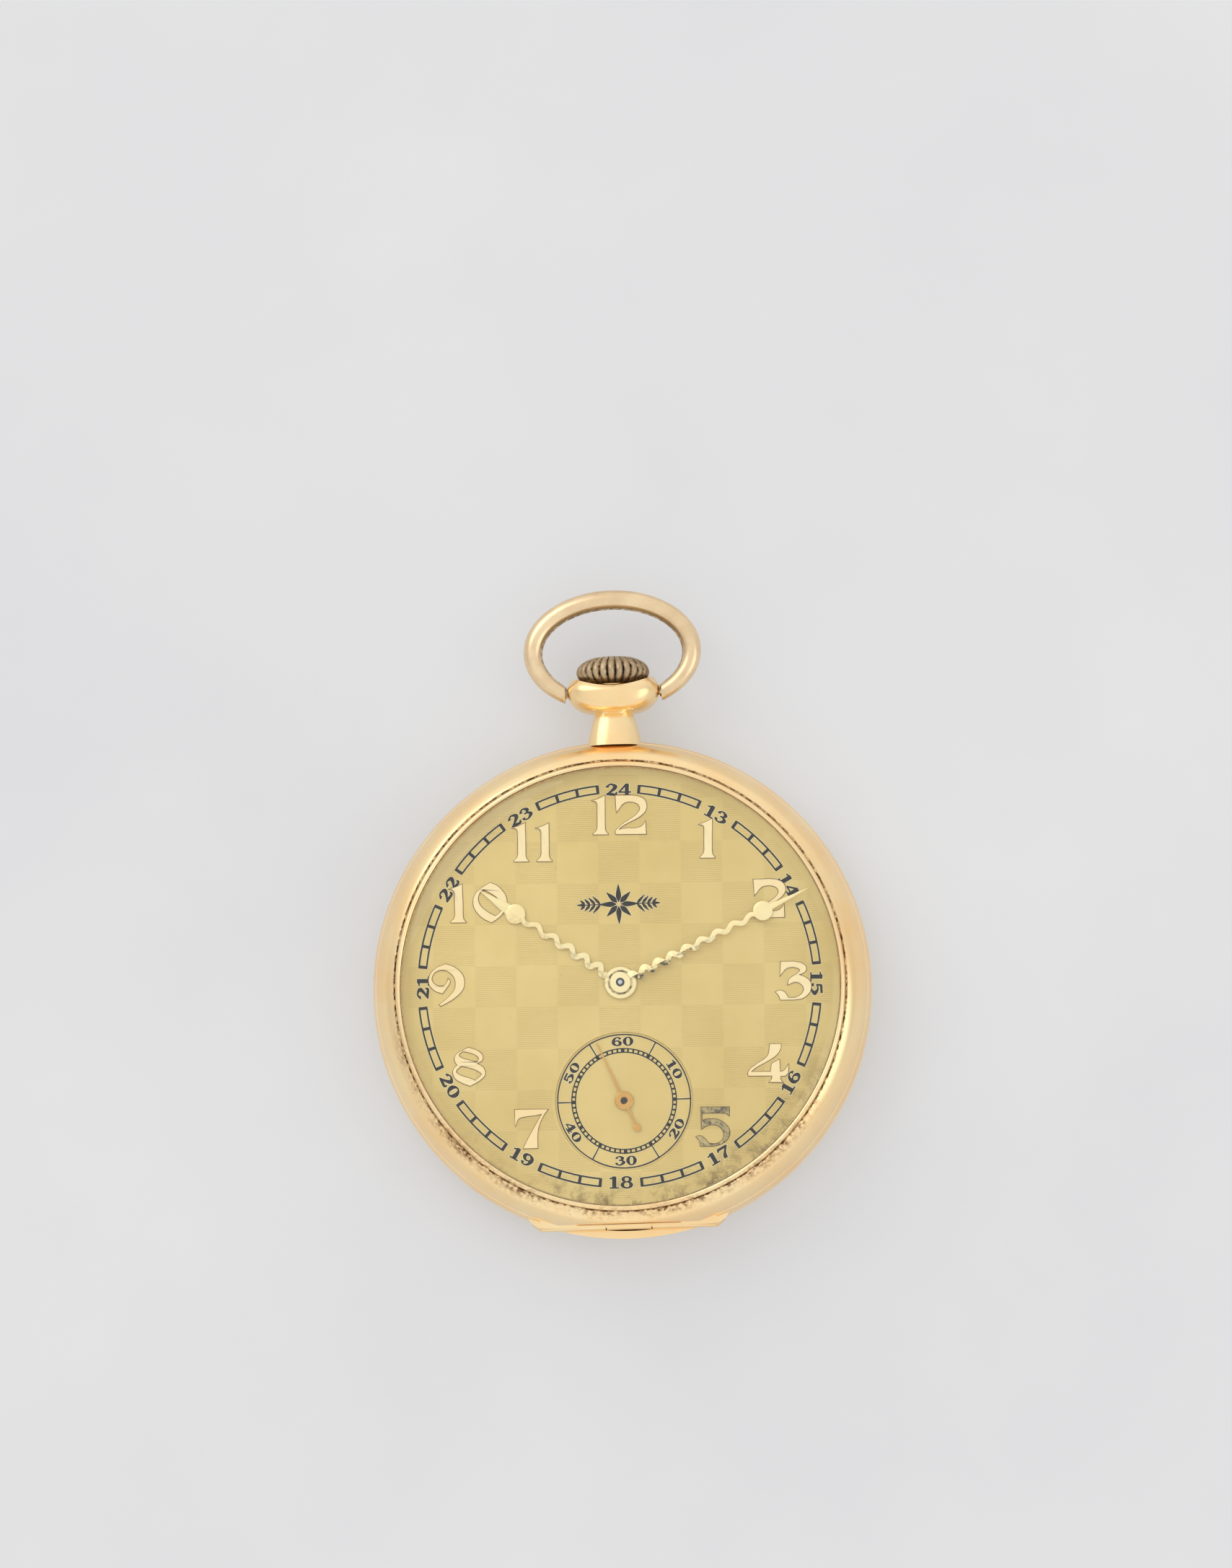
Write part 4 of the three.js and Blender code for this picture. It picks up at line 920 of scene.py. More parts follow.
# Each digit is a few pen strokes of (x, y, width) in a box one unit high. A stroke that starts with
# "loop" is a closed oval: middle x, middle y, half width, half height, side weight, end weight.
ROMAN = {
    "0": [("loop", 0.42, 0.5, 0.27, 0.47, 0.2, 0.05)],
    "1": [[(0.36, 0.98, 0.2), (0.36, 0.02, 0.2)], [(0.1, 0.02, 0.05), (0.62, 0.02, 0.05)],
          [(0.34, 0.96, 0.08), (0.22, 0.86, 0.07), (0.08, 0.82, 0.04)]],
    "2": [[(0.16, 0.72, 0.17), (0.17, 0.8, 0.08), (0.36, 0.97, 0.06), (0.64, 0.84, 0.17),
           (0.62, 0.62, 0.19), (0.38, 0.33, 0.1), (0.12, 0.07, 0.06)],
          [(0.12, 0.09, 0.06), (0.4, 0.1, 0.18), (0.68, 0.06, 0.1), (0.74, 0.26, 0.04)]],
    "3": [[(0.15, 0.74, 0.16), (0.18, 0.87, 0.06), (0.38, 0.97, 0.06), (0.6, 0.78, 0.18),
           (0.52, 0.58, 0.08), (0.34, 0.53, 0.05)],
          [(0.34, 0.54, 0.05), (0.58, 0.48, 0.08), (0.68, 0.27, 0.19), (0.4, 0.03, 0.06),
           (0.16, 0.12, 0.07), (0.13, 0.24, 0.16)]],
    "4": [[(0.54, 0.98, 0.18), (0.54, 0.02, 0.18)], [(0.5, 0.96, 0.06), (0.06, 0.3, 0.05)],
          [(0.04, 0.28, 0.06), (0.78, 0.28, 0.06)], [(0.32, 0.02, 0.05), (0.76, 0.02, 0.05)]],
    "5": [[(0.2, 0.9, 0.14), (0.64, 0.93, 0.12)], [(0.17, 0.94, 0.05), (0.15, 0.52, 0.05)],
          [(0.15, 0.52, 0.05), (0.4, 0.62, 0.08), (0.68, 0.33, 0.2), (0.4, 0.03, 0.06),
           (0.17, 0.11, 0.07), (0.13, 0.24, 0.16)]],
    "6": [[(0.66, 0.78, 0.15), (0.6, 0.93, 0.06), (0.44, 0.97, 0.05), (0.24, 0.8, 0.12),
           (0.15, 0.45, 0.18), (0.2, 0.2, 0.16), (0.4, 0.03, 0.06)],
          [(0.4, 0.03, 0.06), (0.62, 0.12, 0.14), (0.68, 0.32, 0.17), (0.58, 0.52, 0.12),
           (0.42, 0.58, 0.05), (0.24, 0.48, 0.05)]],
    "7": [[(0.1, 0.9, 0.15), (0.7, 0.9, 0.15)], [(0.11, 0.95, 0.05), (0.08, 0.72, 0.04)],
          [(0.7, 0.92, 0.06), (0.46, 0.5, 0.1), (0.36, 0.22, 0.18), (0.35, 0.02, 0.18)]],
    "8": [("loop", 0.42, 0.76, 0.23, 0.22, 0.14, 0.05), ("loop", 0.42, 0.28, 0.28, 0.26, 0.17, 0.05)],
}
ROMAN["9"] = [[(0.84 - x, 1.0 - y, w) for x, y, w in stroke] for stroke in ROMAN["6"]]
ADVANCE = {"1": 0.72}
PRINT_WEIGHT = 0.035


def oval(mx, my, rx, ry, side, end):
    """A closed oval as a path with a weight that swells at the sides."""
    path = []
    steps = 40
    for i in range(steps):
        angle = TURN * i / steps
        weight = end + (side - end) * abs(math.cos(angle)) ** 2.2
        path.append((mx + rx * math.cos(angle), my + ry * math.sin(angle), weight))
    return path


def stroke_sides(path, closed, grow):
    """Left and right edges of a stroke, as lists of points."""
    left, right = [], []
    count = len(path)
    for i, (x, y, width) in enumerate(path):
        ahead = path[(i + 1) % count] if closed else path[min(i + 1, count - 1)]
        behind = path[i - 1] if closed or i else path[0]
        along = Vector((ahead[0] - behind[0], ahead[1] - behind[1]))
        along = along.normalized() if along.length else Vector((1, 0))
        reach = width / 2 + grow
        left.append((x - along.y * reach, y + along.x * reach))
        right.append((x + along.y * reach, y - along.x * reach))
    if not closed and grow:
        left, right = stretched_ends(path, left, right, grow)
    return left, right


def stretched_ends(path, left, right, grow):
    """Carries both ends of a grown stroke outwards."""
    start = Vector(path[0][:2]) - Vector(path[1][:2])
    stop = Vector(path[-1][:2]) - Vector(path[-2][:2])
    for row in (left, right):
        row[0] = tuple(Vector(row[0]) + start.normalized() * grow)
        row[-1] = tuple(Vector(row[-1]) + stop.normalized() * grow)
    return left, right


def band(bm, left, right, closed, place, low, high):
    """A closed solid between the two edges of a stroke."""
    rows = [[bm.verts.new(place(Vector(point), height)) for point in edge]
            for edge, height in ((left, low), (left, high), (right, high), (right, low))]
    count = len(left)
    for i in range(count if closed else count - 1):
        j = (i + 1) % count
        for a, b in zip(rows, rows[1:] + rows[:1]):
            bm.faces.new((a[i], a[j], b[j], b[i]))
    if not closed:
        bm.faces.new([r[0] for r in rows])
        bm.faces.new([r[-1] for r in reversed(rows)])


STROKE_LIFT = 0.0006


def draw_digit(bm, strokes, place, low, high, grow):
    """Draws a digit's strokes, each a hair higher than the last so that none share a face."""
    for index, stroke in enumerate(strokes):
        closed = stroke[0] == "loop"
        if closed:
            path = oval(*stroke[1:])
        elif len(stroke) == 2:
            path = stroke
        else:
            path = spline(stroke, 7)
        left, right = stroke_sides(path, closed, grow)
        band(bm, left, right, closed, place, low, high + index * STROKE_LIFT)


def small_number(bm, text, centre, radius, degrees, height, outward, grow, low, high, squeeze):
    """A number printed along a circle, its top towards the rim or towards the middle."""
    widths = [ADVANCE.get(digit, 0.86) * squeeze for digit in text]
    angle = math.radians(90 - degrees)
    middle = centre + Vector((math.cos(angle), math.sin(angle))) * radius
    up = (middle - centre).normalized() * (1 if outward else -1)
    across = Vector((up.y, -up.x))
    cursor = -sum(widths) / 2
    for digit, width in zip(text, widths):
        offset = cursor + width / 2 - 0.42 * squeeze if digit != "1" else cursor

        def place(point, z, offset=offset):
            flat = middle + across * ((offset + point.x * squeeze) * height)
            flat += up * ((point.y - 0.5) * height)
            return Vector((flat.x, flat.y, z)) * MM

        draw_digit(bm, ROMAN[digit], place, low, high, grow / height + PRINT_WEIGHT)
        cursor += width


def outer_numbers(bm, grow, low, high):
    centre = DIAL_PRINT
    for hour in range(12):
        number = str(24 if hour == 0 else 12 + hour)
        outward = not 4 <= hour <= 8
        small_number(bm, number, centre, 18.8, hour * 30 - DIAL_TURN, 1.06, outward, grow, low, high, 1.42)
    bars(bm, centre, grow, low, high)


def seconds_numbers(bm, grow, low, high):
    centre = Vector((SECONDS.x, SECONDS.y))
    for index, number in enumerate(("60", "10", "20", "30", "40", "50")):
        outward = index in (0, 1, 5)
        small_number(bm, number, centre, 5.72, index * 60, 0.84, outward, grow, low, high, 1.5)
    seconds_track(bm, grow, low, high)


# The raised hour numbers: broad pen figures as outlines in a box one unit high. A point is a corner,
# or part of a curve where it is in a list with the next ones.
PEN = {
    "0": [[(0.45, 1.04), [(0.64, 0.95), (0.82, 0.75), (0.88, 0.55), (0.83, 0.33), (0.69, 0.14)],
           (0.47, -0.01), [(0.22, 0.13), (0.04, 0.35), (0.0, 0.55), (0.06, 0.74), (0.2, 0.88)]],
          [(0.27, 0.85), [(0.46, 0.76), (0.66, 0.6)], (0.77, 0.4), [(0.7, 0.25)], (0.58, 0.16),
           [(0.38, 0.27), (0.2, 0.43), (0.13, 0.6), (0.16, 0.75)]]],
    "1": [[(0.0, 0.87), [(0.17, 0.92)], (0.34, 1.0), (0.34, 0.2), [(0.36, 0.09)], (0.42, 0.02), (0.42, 0.0),
           (0.03, 0.0), (0.03, 0.02), [(0.11, 0.1)], (0.14, 0.2), (0.14, 0.72), [(0.13, 0.8), (0.08, 0.85)]]],
    "2": [[(0.0, 1.0), (0.42, 1.0), [(0.62, 0.97), (0.77, 0.88), (0.82, 0.73), (0.77, 0.58), (0.6, 0.43),
           (0.32, 0.29), (0.15, 0.19)], (0.08, 0.12), [(0.3, 0.16), (0.52, 0.16), (0.7, 0.21)], (0.79, 0.34),
           (0.81, 0.0), (0.02, 0.0), [(0.0, 0.06), (0.07, 0.16), (0.24, 0.3), (0.48, 0.45), (0.61, 0.57),
           (0.64, 0.69), (0.56, 0.79), (0.38, 0.83), (0.2, 0.78)], (0.03, 0.57)]],
    "3": [[(0.14, 1.0), (0.48, 1.0), [(0.66, 0.96), (0.77, 0.88), (0.78, 0.78), (0.72, 0.7)], (0.6, 0.65),
           [(0.76, 0.59), (0.88, 0.48), (0.91, 0.34), (0.85, 0.17), (0.7, 0.04)], (0.5, 0.0), (0.12, 0.0),
           [(0.09, 0.1)], (0.0, 0.21), [(0.12, 0.25), (0.24, 0.2)], (0.33, 0.06),
           [(0.5, 0.06), (0.65, 0.13), (0.72, 0.26), (0.67, 0.39), (0.52, 0.46)], (0.32, 0.39),
           [(0.35, 0.52), (0.45, 0.61), (0.58, 0.69), (0.63, 0.77), (0.56, 0.83), (0.41, 0.85),
            (0.25, 0.79)], (0.12, 0.62)]],
    "4": [[(0.58, 1.0), (0.87, 1.0), [(0.85, 0.86), (0.73, 0.69), (0.5, 0.54), (0.24, 0.4)], (0.09, 0.28),
           (0.6, 0.28), (0.63, 0.48), (0.83, 0.59), (0.83, 0.28), [(0.95, 0.32)], (1.05, 0.48),
           [(1.03, 0.26)], (0.96, 0.17), (0.84, 0.17), [(0.84, 0.08)], (0.9, 0.0), (0.55, 0.0),
           [(0.62, 0.08)], (0.63, 0.17), (0.02, 0.17),
           [(0.01, 0.25), (0.08, 0.36), (0.27, 0.5), (0.47, 0.63), (0.55, 0.76)]]],
    "5": [[(0.13, 1.0), (0.86, 1.0), (0.86, 0.77), [(0.78, 0.83), (0.66, 0.85)], (0.15, 0.85), (0.14, 0.65),
           [(0.3, 0.69), (0.55, 0.68), (0.77, 0.55), (0.86, 0.36), (0.78, 0.16), (0.58, 0.04)], (0.36, 0.0),
           (0.1, 0.0), [(0.08, 0.13)], (-0.01, 0.23), [(0.1, 0.26), (0.21, 0.19)], (0.31, 0.07),
           [(0.5, 0.06), (0.66, 0.15), (0.71, 0.3), (0.65, 0.45), (0.49, 0.54), (0.3, 0.53)],
           (0.13, 0.43)]],
    "7": [[(0.0, 1.0), (0.87, 1.0), [(0.75, 0.84), (0.63, 0.58), (0.59, 0.32)], (0.6, 0.0), (0.23, 0.0),
           [(0.38, 0.3), (0.55, 0.6)], (0.71, 0.88), [(0.52, 0.84), (0.33, 0.82), (0.16, 0.79), (0.07, 0.72)],
           (0.01, 0.56)]],
    "8": [[(0.39, 1.0), [(0.6, 0.93), (0.74, 0.82), (0.76, 0.71), (0.71, 0.63)], (0.6, 0.58),
           [(0.75, 0.5), (0.82, 0.38), (0.8, 0.25), (0.66, 0.12)], (0.44, 0.0),
           [(0.22, 0.09), (0.06, 0.2), (0.0, 0.34), (0.03, 0.46)], (0.11, 0.54),
           [(0.05, 0.63), (0.04, 0.75), (0.13, 0.87)]],
          [(0.24, 0.9), [(0.4, 0.87), (0.58, 0.8), (0.66, 0.7)], (0.6, 0.62), [(0.4, 0.67), (0.22, 0.73),
           (0.14, 0.81)]],
          [(0.2, 0.51), [(0.42, 0.47), (0.62, 0.39), (0.73, 0.28)], (0.57, 0.14),
           [(0.36, 0.22), (0.16, 0.3), (0.08, 0.4)]]],
    "9": [[(0.43, 1.07), [(0.65, 0.99), (0.85, 0.81), (0.91, 0.6), (0.85, 0.37), (0.62, 0.15)], (0.3, -0.03),
           (0.27, 0.01), [(0.49, 0.19), (0.64, 0.37), (0.68, 0.56), (0.63, 0.74), (0.49, 0.87), (0.33, 0.91),
           (0.16, 0.85), (0.08, 0.7), (0.14, 0.56), (0.31, 0.49), (0.44, 0.55)], (0.49, 0.69),
           [(0.54, 0.61), (0.46, 0.46)], (0.34, 0.3), [(0.16, 0.37), (0.03, 0.51), (0.0, 0.66), (0.06, 0.83),
           (0.2, 0.97)]]],
}
PEN_STEP = {"1": 0.61, "0": 0.9, "2": 0.82, "3": 0.9, "4": 1.0, "5": 0.86, "7": 0.86, "8": 0.82, "9": 0.9}


def outline_points(outline):
    """The corners and curves of an outline as one closed run of points, anticlockwise."""
    anchors = []
    for item in outline:
        anchors += [(point, False) for point in item] if isinstance(item, list) else [(item, True)]
    while not anchors[0][1]:
        anchors.append(anchors.pop(0))
    anchors.append(anchors[0])
    points, run = [], []
    for point, corner in anchors:
        run.append(point)
        if corner and len(run) > 1:
            points += spline(run, 6)[:-1] if len(run) > 2 else run[:1]
            run = [point]
    area = sum(a[0] * b[1] - b[0] * a[1] for a, b in zip(points, points[1:] + points[:1]))
    return points if area > 0 else points[::-1]


def inset_points(points, amount):
    """Each point moved to the left of its path, which is inwards for an anticlockwise run."""
    moved = []
    count = len(points)
    for i, point in enumerate(points):
        before = Vector(points[i]) - Vector(points[i - 1])
        after = Vector(points[(i + 1) % count]) - Vector(point)
        sides = [Vector((-edge.y, edge.x)).normalized() for edge in (before, after)]
        middle = sides[0] + sides[1]
        middle = middle.normalized() if middle.length > 0.3 else sides[0]
        reach = amount / max(0.55, middle.dot(sides[0]))
        moved.append(tuple(Vector(point) + middle * reach))
    return moved


def cut_figure(bm, outlines, place, levels):
    """A closed solid over an outline with holes. levels are (height, inset) from the bottom up."""
    loops = [outline_points(outline) for outline in outlines]
    loops = [loops[0]] + [loop[::-1] for loop in loops[1:]]
    flat = [[Vector((*point, 0)) for point in loop] for loop in loops]
    triangles = tessellate_polygon(flat)
    layers = []
    for height, inset in levels:
        layer = []
        for loop in loops:
            layer.append([bm.verts.new(place(Vector(point), height)) for point in inset_points(loop, inset)])
        layers.append(layer)
    for below, above in zip(layers, layers[1:]):
        for low_loop, high_loop in zip(below, above):
            bridge(bm, low_loop, high_loop)
    for layer, order in ((layers[0], -1), (layers[-1], 1)):
        verts = [vert for loop in layer for vert in loop]
        for triangle in triangles:
            corners = [verts[i] for i in triangle]
            if len(set(corners)) == 3:
                bm.faces.new(corners[::order])


def hour_number_mesh(hour, levels, name):
    """A number of the hour, upright on the dial."""
    text = str(hour)
    steps = [PEN_STEP[digit] for digit in text]
    reach = sum(steps[:-1]) + max(point[0] for point in outline_points(PEN[text[-1]][0]))
    middle = Vector(HOUR_PLACES[hour])
    upright = Matrix.Rotation(math.radians(DIAL_TURN), 2)
    bm = bmesh.new()
    cursor = -reach / 2
    for digit, step in zip(text, steps):

        def place(point, z, cursor=cursor):
            flat = middle + upright @ Vector((cursor + point.x, point.y - 0.5)) * HOUR_NUMBER_HEIGHT
            return Vector((flat.x, flat.y, z)) * MM

        cut_figure(bm, PEN[digit], place, levels)
        cursor += step
    return mesh_from(bm, name, 30)


def leaf(bm, root, heading, length, width, grow, low, high):
    """One pointed leaf printed on the dial."""
    path = [(0, 0, 0.04), (0.3 * length, 0, width), (0.65 * length, 0, width * 0.7), (length, 0, 0.03)]
    left, right = stroke_sides(spline(path, 5), False, grow)
    turn = Matrix.Rotation(math.radians(heading), 2)

    def place(point, z):
        flat = turn @ point + Vector(root)
        return Vector((flat.x, flat.y, z)) * MM

    band(bm, left, right, False, place, low, high)


def ornament(bm, grow, low, high):
    """A printed spray of leaves between the centre and 12: a rosette with a branch on each side."""
    x, y = DIAL_PRINT.x + 0.14, 7.95
    lift = 0.0
    for index in range(8):
        heading = 45 * index
        root = (x + 0.2 * math.cos(math.radians(heading)), y + 0.2 * math.sin(math.radians(heading)))
        leaf(bm, root, heading, 1.45 if index % 2 else 1.75, 0.5, grow, low, high + lift)
        lift += 0.0003
    for side in (-1, 1):
        for index in range(4):
            along = 1.75 + 0.5 * index
            size = 1.15 - 0.16 * index
            for turn in (48, -48):
                root = (x + side * along, y)
                heading = turn if side > 0 else 180 - turn
                leaf(bm, root, heading, size, 0.27, grow, low, high + lift)
                lift += 0.0003
        leaf(bm, (x + side * 3.3, y), 0 if side > 0 else 180, 0.75, 0.24, grow, low, high + lift)
        lift += 0.0003
        stem = sorted((x + side * 1.7, x + side * 3.4))
        reach = 0.05 + grow
        prism(bm, [(stem[0], y - reach), (stem[1], y - reach), (stem[1], y + reach), (stem[0], y + reach)],
              low, high - 0.001)


# ------------------------------------------------------------------ hands


def roof(bm, left, right, low, ridge, slope):
    """A strip with flat underside whose top falls away from the hand's own line on both sides."""
    rows = []
    for (xl, yl), (xr, yr) in zip(left, right):
        top = ridge * MM
        rows.append([
            bm.verts.new((xl * MM, yl * MM, low * MM)),
            bm.verts.new((xl * MM, yl * MM, top - slope * abs(yl) * MM)),
            bm.verts.new(((xl + xr) / 2 * MM, 0, top)),
            bm.verts.new((xr * MM, yr * MM, top - slope * abs(yr) * MM)),
            bm.verts.new((xr * MM, yr * MM, low * MM)),
        ])
    for here, there in zip(rows, rows[1:]):
        bridge(bm, here, there)
    bm.faces.new(rows[0])
    bm.faces.new(list(reversed(rows[-1])))


def disc_in(bm, x, radius, low, high, crown=0.05, sides=40):
    """Adds a round with a gently domed top, its middle on the hand's line."""
    profile = [(0, low), (radius, low), (radius, high - crown * 1.4), (radius - 0.07, high - crown),
               (radius * 0.6, high - crown * 0.3), (0, high)]
    made = turned_bm(profile, sides)
    made.verts.ensure_lookup_table()
    mesh = bpy.data.meshes.new("disc")
    bmesh.ops.remove_doubles(made, verts=made.verts, dist=SAME_PLACE)
    made.to_mesh(mesh)
    made.free()
    mesh.transform(Matrix.Translation((x * MM, 0, 0)))
    bm.from_mesh(mesh)
    bpy.data.meshes.remove(mesh)


FACET_FALL = 0.22
HOUR_HAND_THICKNESS = 0.16


def wavy_hand(name, heading, boss, bore, rim, disc_x, disc_radius, tip, waves, first, last):
    """Hub, waved stem, disc and leaf, built along +X and turned to its place."""
    low, high = bottom_of(name), top_of(name)
    if name == "hour_hand":
        high = low + HOUR_HAND_THICKNESS
    bm = bmesh.new()
    steps = int(waves * 26)
    start, end = boss - 0.1, disc_x - disc_radius + 0.15
    path = []
    for i in range(steps + 1):
        t = i / steps
        phase = TURN * waves * (1.18 * t - 0.18 * t * t)
        sway = (first + (last - first) * t) * math.sin(phase)
        path.append((start + (end - start) * t, sway, 0.56 - 0.12 * t))
    left, right = stroke_sides(path, False, 0.0)
    roof(bm, left, right, low, high, FACET_FALL)
    leaf = spline([(disc_x + disc_radius * 0.7, 0.52), (disc_x + disc_radius + 0.5, 0.44),
                   (disc_x + (tip - disc_x) * 0.7, 0.2), (tip, 0.015)], 8)
    if name == "minute_hand":
        leaf = [(x, y * 0.55) for x, y in leaf]
    roof(bm, leaf, [(x, -y) for x, y in leaf], low, high, FACET_FALL)
    disc_in(bm, disc_x, disc_radius, low, high + 0.03)
    mesh = mesh_from(bm, name, 25)
    hub = turned("hub", [(bore, low), (boss, low), (boss, high - 0.02), (boss - 0.06, high + 0.03),
                         (boss - 0.2, high + 0.05), (rim, high + 0.05), (rim, high + 0.012),
                         (bore, high + 0.012)], 48)
    mesh = joined(name, 25, mesh, hub)
    mesh.transform(set_on(HANDS, heading))
    return mesh


NOSE_RISE = 0.03


def post_mesh(centre, radius, nose, height):
    """The end of an arbor, with its turned nose."""
    mesh = turned("post", [(0, height - 0.06), (radius, height - 0.06), (radius, height + 0.004),
                           (nose, height + 0.004), (nose, height + NOSE_RISE),
                           (nose * 0.6, height + NOSE_RISE + 0.01), (0, height + NOSE_RISE + 0.01)], 40)
    mesh.transform(set_on(centre))
    return mesh


def second_hand_mesh():
    low, high = bottom_of("second_hand"), top_of("second_hand")
    bm = bmesh.new()
    left = [(-2.6, 0.09), (-0.8, 0.14), (0.8, 0.14), (6.1, 0.06)]
    roof(bm, left, [(x, -y) for x, y in left], low, high, 0.3)
    disc_in(bm, -2.89, 0.355, low, high + 0.01, 0.03, 24)
    mesh = mesh_from(bm, "second_hand", 25)
    hub = turned("hub", [(0.3, low), (0.88, low), (0.88, high - 0.02), (0.8, high + 0.03), (0.4, high + 0.05),
                         (0.3, high)], 40)
    mesh = joined("second_hand", 25, mesh, hub)
    mesh.transform(set_on(SECONDS, SECOND_HEADING))
    return mesh


# ------------------------------------------------------------------ assembly

piece("bezel_ring", bezel_mesh(), bezel_gold, "case", "case_gold", "bezel")
piece("case_middle", case_middle_mesh(), case_gold, "case", "case_gold", "case_band")
piece("hinge_strip", hinge_strip_mesh(), case_gold, "case", "case_gold", "case_band")
piece("pendant", pendant_mesh(), case_gold, "case", "case_gold", "case_band")
piece("rear_cover_shell", rear_cover_mesh(), cover_gold, "rear_cover", "case_gold", "rear_cover")
piece("cuvette_shell", cuvette_mesh(), cover_gold, "cuvette", "case_gold", "cuvette")
piece("crystal_dome", crystal_mesh(), crystal_glass, "case", "crystal_glass", "crystal")
piece("bow_loop", bow_mesh(), pale_gold, "bow", "pale_gold", "bow")
piece("fluted_crown", crown_mesh(), crown_gold, "crown", "pale_gold", "crown")
piece("gilt_dial", dial_mesh(), dial_gilt, "case", "dial_gold", "dial")

# Heights of a raised number and of the painted shadow round its foot, a dark brown line, with how far each is
# drawn in.
RAISED = ((DIAL_TOP - 0.02, 0.0), (DIAL_TOP + 0.12, 0.0), (DIAL_TOP + 0.15, 0.012))
NUMBER_SHADOW = ((DIAL_TOP - 0.01, -0.016), (DIAL_TOP + 0.006, -0.016))
for hour in (1, 2, 3, 4, 5, 7, 8, 9, 10, 11, 12):
    finish = tarnished_gold if hour == 5 else numeral_gold
    raised = hour_number_mesh(hour, RAISED, f"hour_number_{hour}")
    piece(f"hour_number_{hour}", raised, finish, "case", "hand_gold")
    # Painted shadow: a flat dark brown ring drawn out round the number's foot.
    shadow_ring = hour_number_mesh(hour, NUMBER_SHADOW, f"hour_number_shadow_{hour}")
    piece(f"hour_number_shadow_{hour}", shadow_ring, numeral_shadow_brown, "case", "dial_gold")

PRINTS = (
    ("outer_numbers", outer_numbers, DIAL_TOP),
    ("seconds_numbers", seconds_numbers, SUBDIAL_FLOOR),
    ("ornament", ornament, DIAL_TOP),
)
HALO = 0.05   # how far the cream ground of a print reaches past its black

for name, draw, surface in PRINTS:
    low = surface - 0.002
    piece(f"{name}_ground", print_mesh(name, draw, low, 0.006, HALO), cream_ink, "case", "dial_gold")
    piece(f"{name}_print", print_mesh(name, draw, low, 0.016, 0.0), black_ink, "case", "dial_gold")

hour_blade = wavy_hand("hour_hand", HOUR_HEADING, boss=1.57, bore=0.98, rim=0.99, disc_x=12.1,
                       disc_radius=0.95, tip=16.2, waves=5.5, first=0.36, last=0.26)
minute_blade = wavy_hand("minute_hand", MINUTE_HEADING, boss=1.03, bore=0.66, rim=0.42, disc_x=15.3,
                         disc_radius=0.93, tip=20.1, waves=8.5, first=0.31, last=0.19)
piece("hour_hand_blade", hour_blade, hour_hand_gold, "hours", "hand_gold", "hour_hand")
piece("minute_hand_blade", minute_blade, minute_hand_gold, "centre", "hand_gold", "minute_hand")
piece("centre_post", post_mesh(HANDS, 0.41, 0.2, top_of("centre_wheel")), dark_steel, "centre",
      "polished_steel")
piece("centre_nose", post_mesh(HANDS, 0.23, 0.18, top_of("centre_wheel") + 0.02), steel, "centre",
      "polished_steel")
piece("seconds_post", post_mesh(SECONDS, 0.29, 0.12, top_of("fourth_wheel")), dark_steel, "seconds",
      "polished_steel")
piece("second_hand_blade", second_hand_mesh(), second_hand_gold, "seconds", "hand_gold", "second_hand")

BY_SLOT = {
    "case_gold": case_gold, "pale_gold": pale_gold, "dial_gold": dial_gilt, "hand_gold": hand_gold,
    "crystal_glass": crystal_glass, "wheel_brass": wheel_brass, "nickel_plate": nickel,
    "polished_steel": steel, "spring_steel": blued_steel, "ruby": ruby_red,
}
for part in frame["record"]["subparts"]:
    node = frame["nodes"][part["node"]]
    node.data.materials.clear()
    node.data.materials.append(BY_SLOT[part["material_slot"]])
    for face in node.data.polygons:
        face.material_index = 0


# ------------------------------------------------------------------ floor, light and camera


def floor():
    mesh = bpy.data.meshes.new("floor")
    reach = 2.0
    mesh.from_pydata([(-reach, -reach, 0), (reach, -reach, 0), (reach, reach, 0), (-reach, reach, 0)],
                     [], [(0, 1, 2, 3)])
    material, tree, shader = new_material("pale_floor")
    cloud = scale_to(tree, noise(tree, object_place(tree), 14.0, 4.0), 0.35, 0.75)
    put(tree, shader.inputs["Base Color"],
        blend_colour(tree, cloud, colour(176, 176, 177), colour(168, 168, 170)))
    put(tree, shader.inputs["Emission Color"],
        blend_colour(tree, cloud, colour(255, 255, 255), colour(250, 250, 252)))
    shader.inputs["Emission Strength"].default_value = 0.32
    shader.inputs["Roughness"].default_value = 0.75
    mesh.materials.append(material)
    made = bpy.data.objects.new("floor", mesh)
    bpy.context.scene.collection.objects.link(made)
    made.location.z = -0.00002


def soft_light(name, place, size, power):
    light = bpy.data.lights.new(name, "AREA")
    light.shape = "DISK"
    light.size = size
    light.energy = power
    made = bpy.data.objects.new(name, light)
    made.location = place
    made.rotation_euler = (-Vector(place)).to_track_quat("-Z", "Y").to_euler()
    bpy.context.scene.collection.objects.link(made)


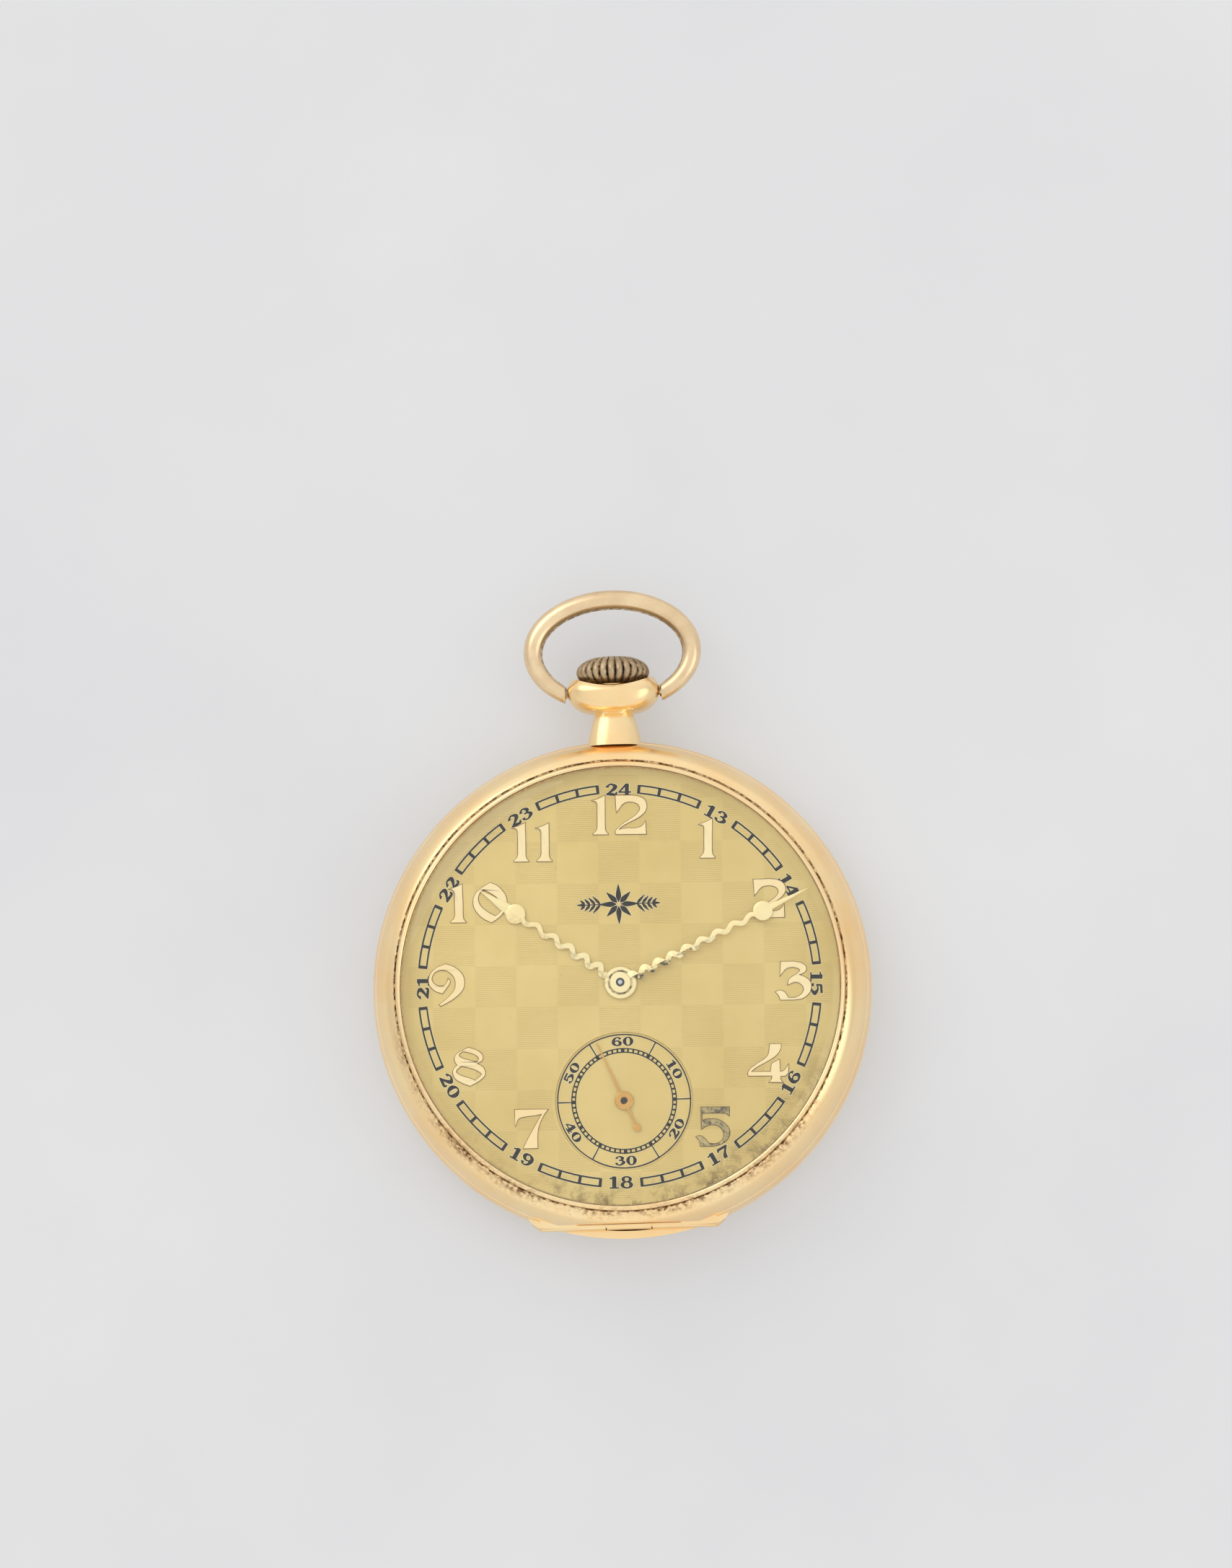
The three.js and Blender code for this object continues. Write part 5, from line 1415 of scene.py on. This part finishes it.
def surroundings():
    world = bpy.data.worlds.new("studio")
    world.use_nodes = True
    bpy.context.scene.world = world
    tree = world.node_tree
    towards = add(tree, "ShaderNodeSeparateXYZ", None,
                  _0=tree.nodes.new("ShaderNodeTexCoord").outputs["Generated"]).outputs
    low_light = scale_to(tree, maths(tree, "ABSOLUTE", towards[1]), 0.0, 1.0, 0.66, 1.0)
    overhead = scale_to(tree, towards[2], 0.35, 0.95)
    glow = maths(tree, "ADD", maths(tree, "MULTIPLY", low_light, maths(tree, "SUBTRACT", 1.0, overhead)),
                 maths(tree, "MULTIPLY", overhead, 0.94))
    put(tree, tree.nodes["Background"].inputs["Color"], blend_colour(tree, glow, (0, 0, 0, 1), (1, 1, 1, 1)))
    tree.nodes["Background"].inputs["Strength"].default_value = 1.0


FRAME_WIDTH = 118.55                     # width of the view at the watch
CAMERA_DISTANCE = 1200.0
TILT = (2.6, 5.95)                       # degrees to the right and towards 6 o'clock
ROLL = 1.67
CASE_IN_VIEW = Vector((0.607, -19.75))   # the case from the middle of the view


def camera():
    """Almost overhead, a little from the 6 o'clock side and the right."""
    towards = Vector((math.tan(math.radians(TILT[0])), -math.tan(math.radians(TILT[1])), 1)).normalized()
    roll = math.radians(ROLL)
    up = Vector((math.sin(roll), math.cos(roll), 0))
    up = (up - towards * up.dot(towards)).normalized()
    right = up.cross(towards)
    aim = Vector((0, 0, 4.5)) - right * CASE_IN_VIEW.x - up * CASE_IN_VIEW.y
    lens = bpy.data.cameras.new("camera")
    lens.sensor_fit = "HORIZONTAL"
    lens.sensor_width = 36.0
    lens.lens = lens.sensor_width * CAMERA_DISTANCE / FRAME_WIDTH
    lens.clip_start = 0.01
    made = bpy.data.objects.new("camera", lens)
    turn = Matrix((right, up, towards)).transposed().to_4x4()
    made.matrix_world = Matrix.Translation((aim + towards * CAMERA_DISTANCE) * MM) @ turn
    bpy.context.scene.collection.objects.link(made)
    bpy.context.scene.camera = made


floor()
surroundings()
soft_light("key", (-0.75, 0.8, 0.9), 1.1, 3.2)
soft_light("fill", (0.8, -0.2, 0.6), 0.7, 0.8)
camera()
bpy.context.scene.view_settings.view_transform = "Standard"
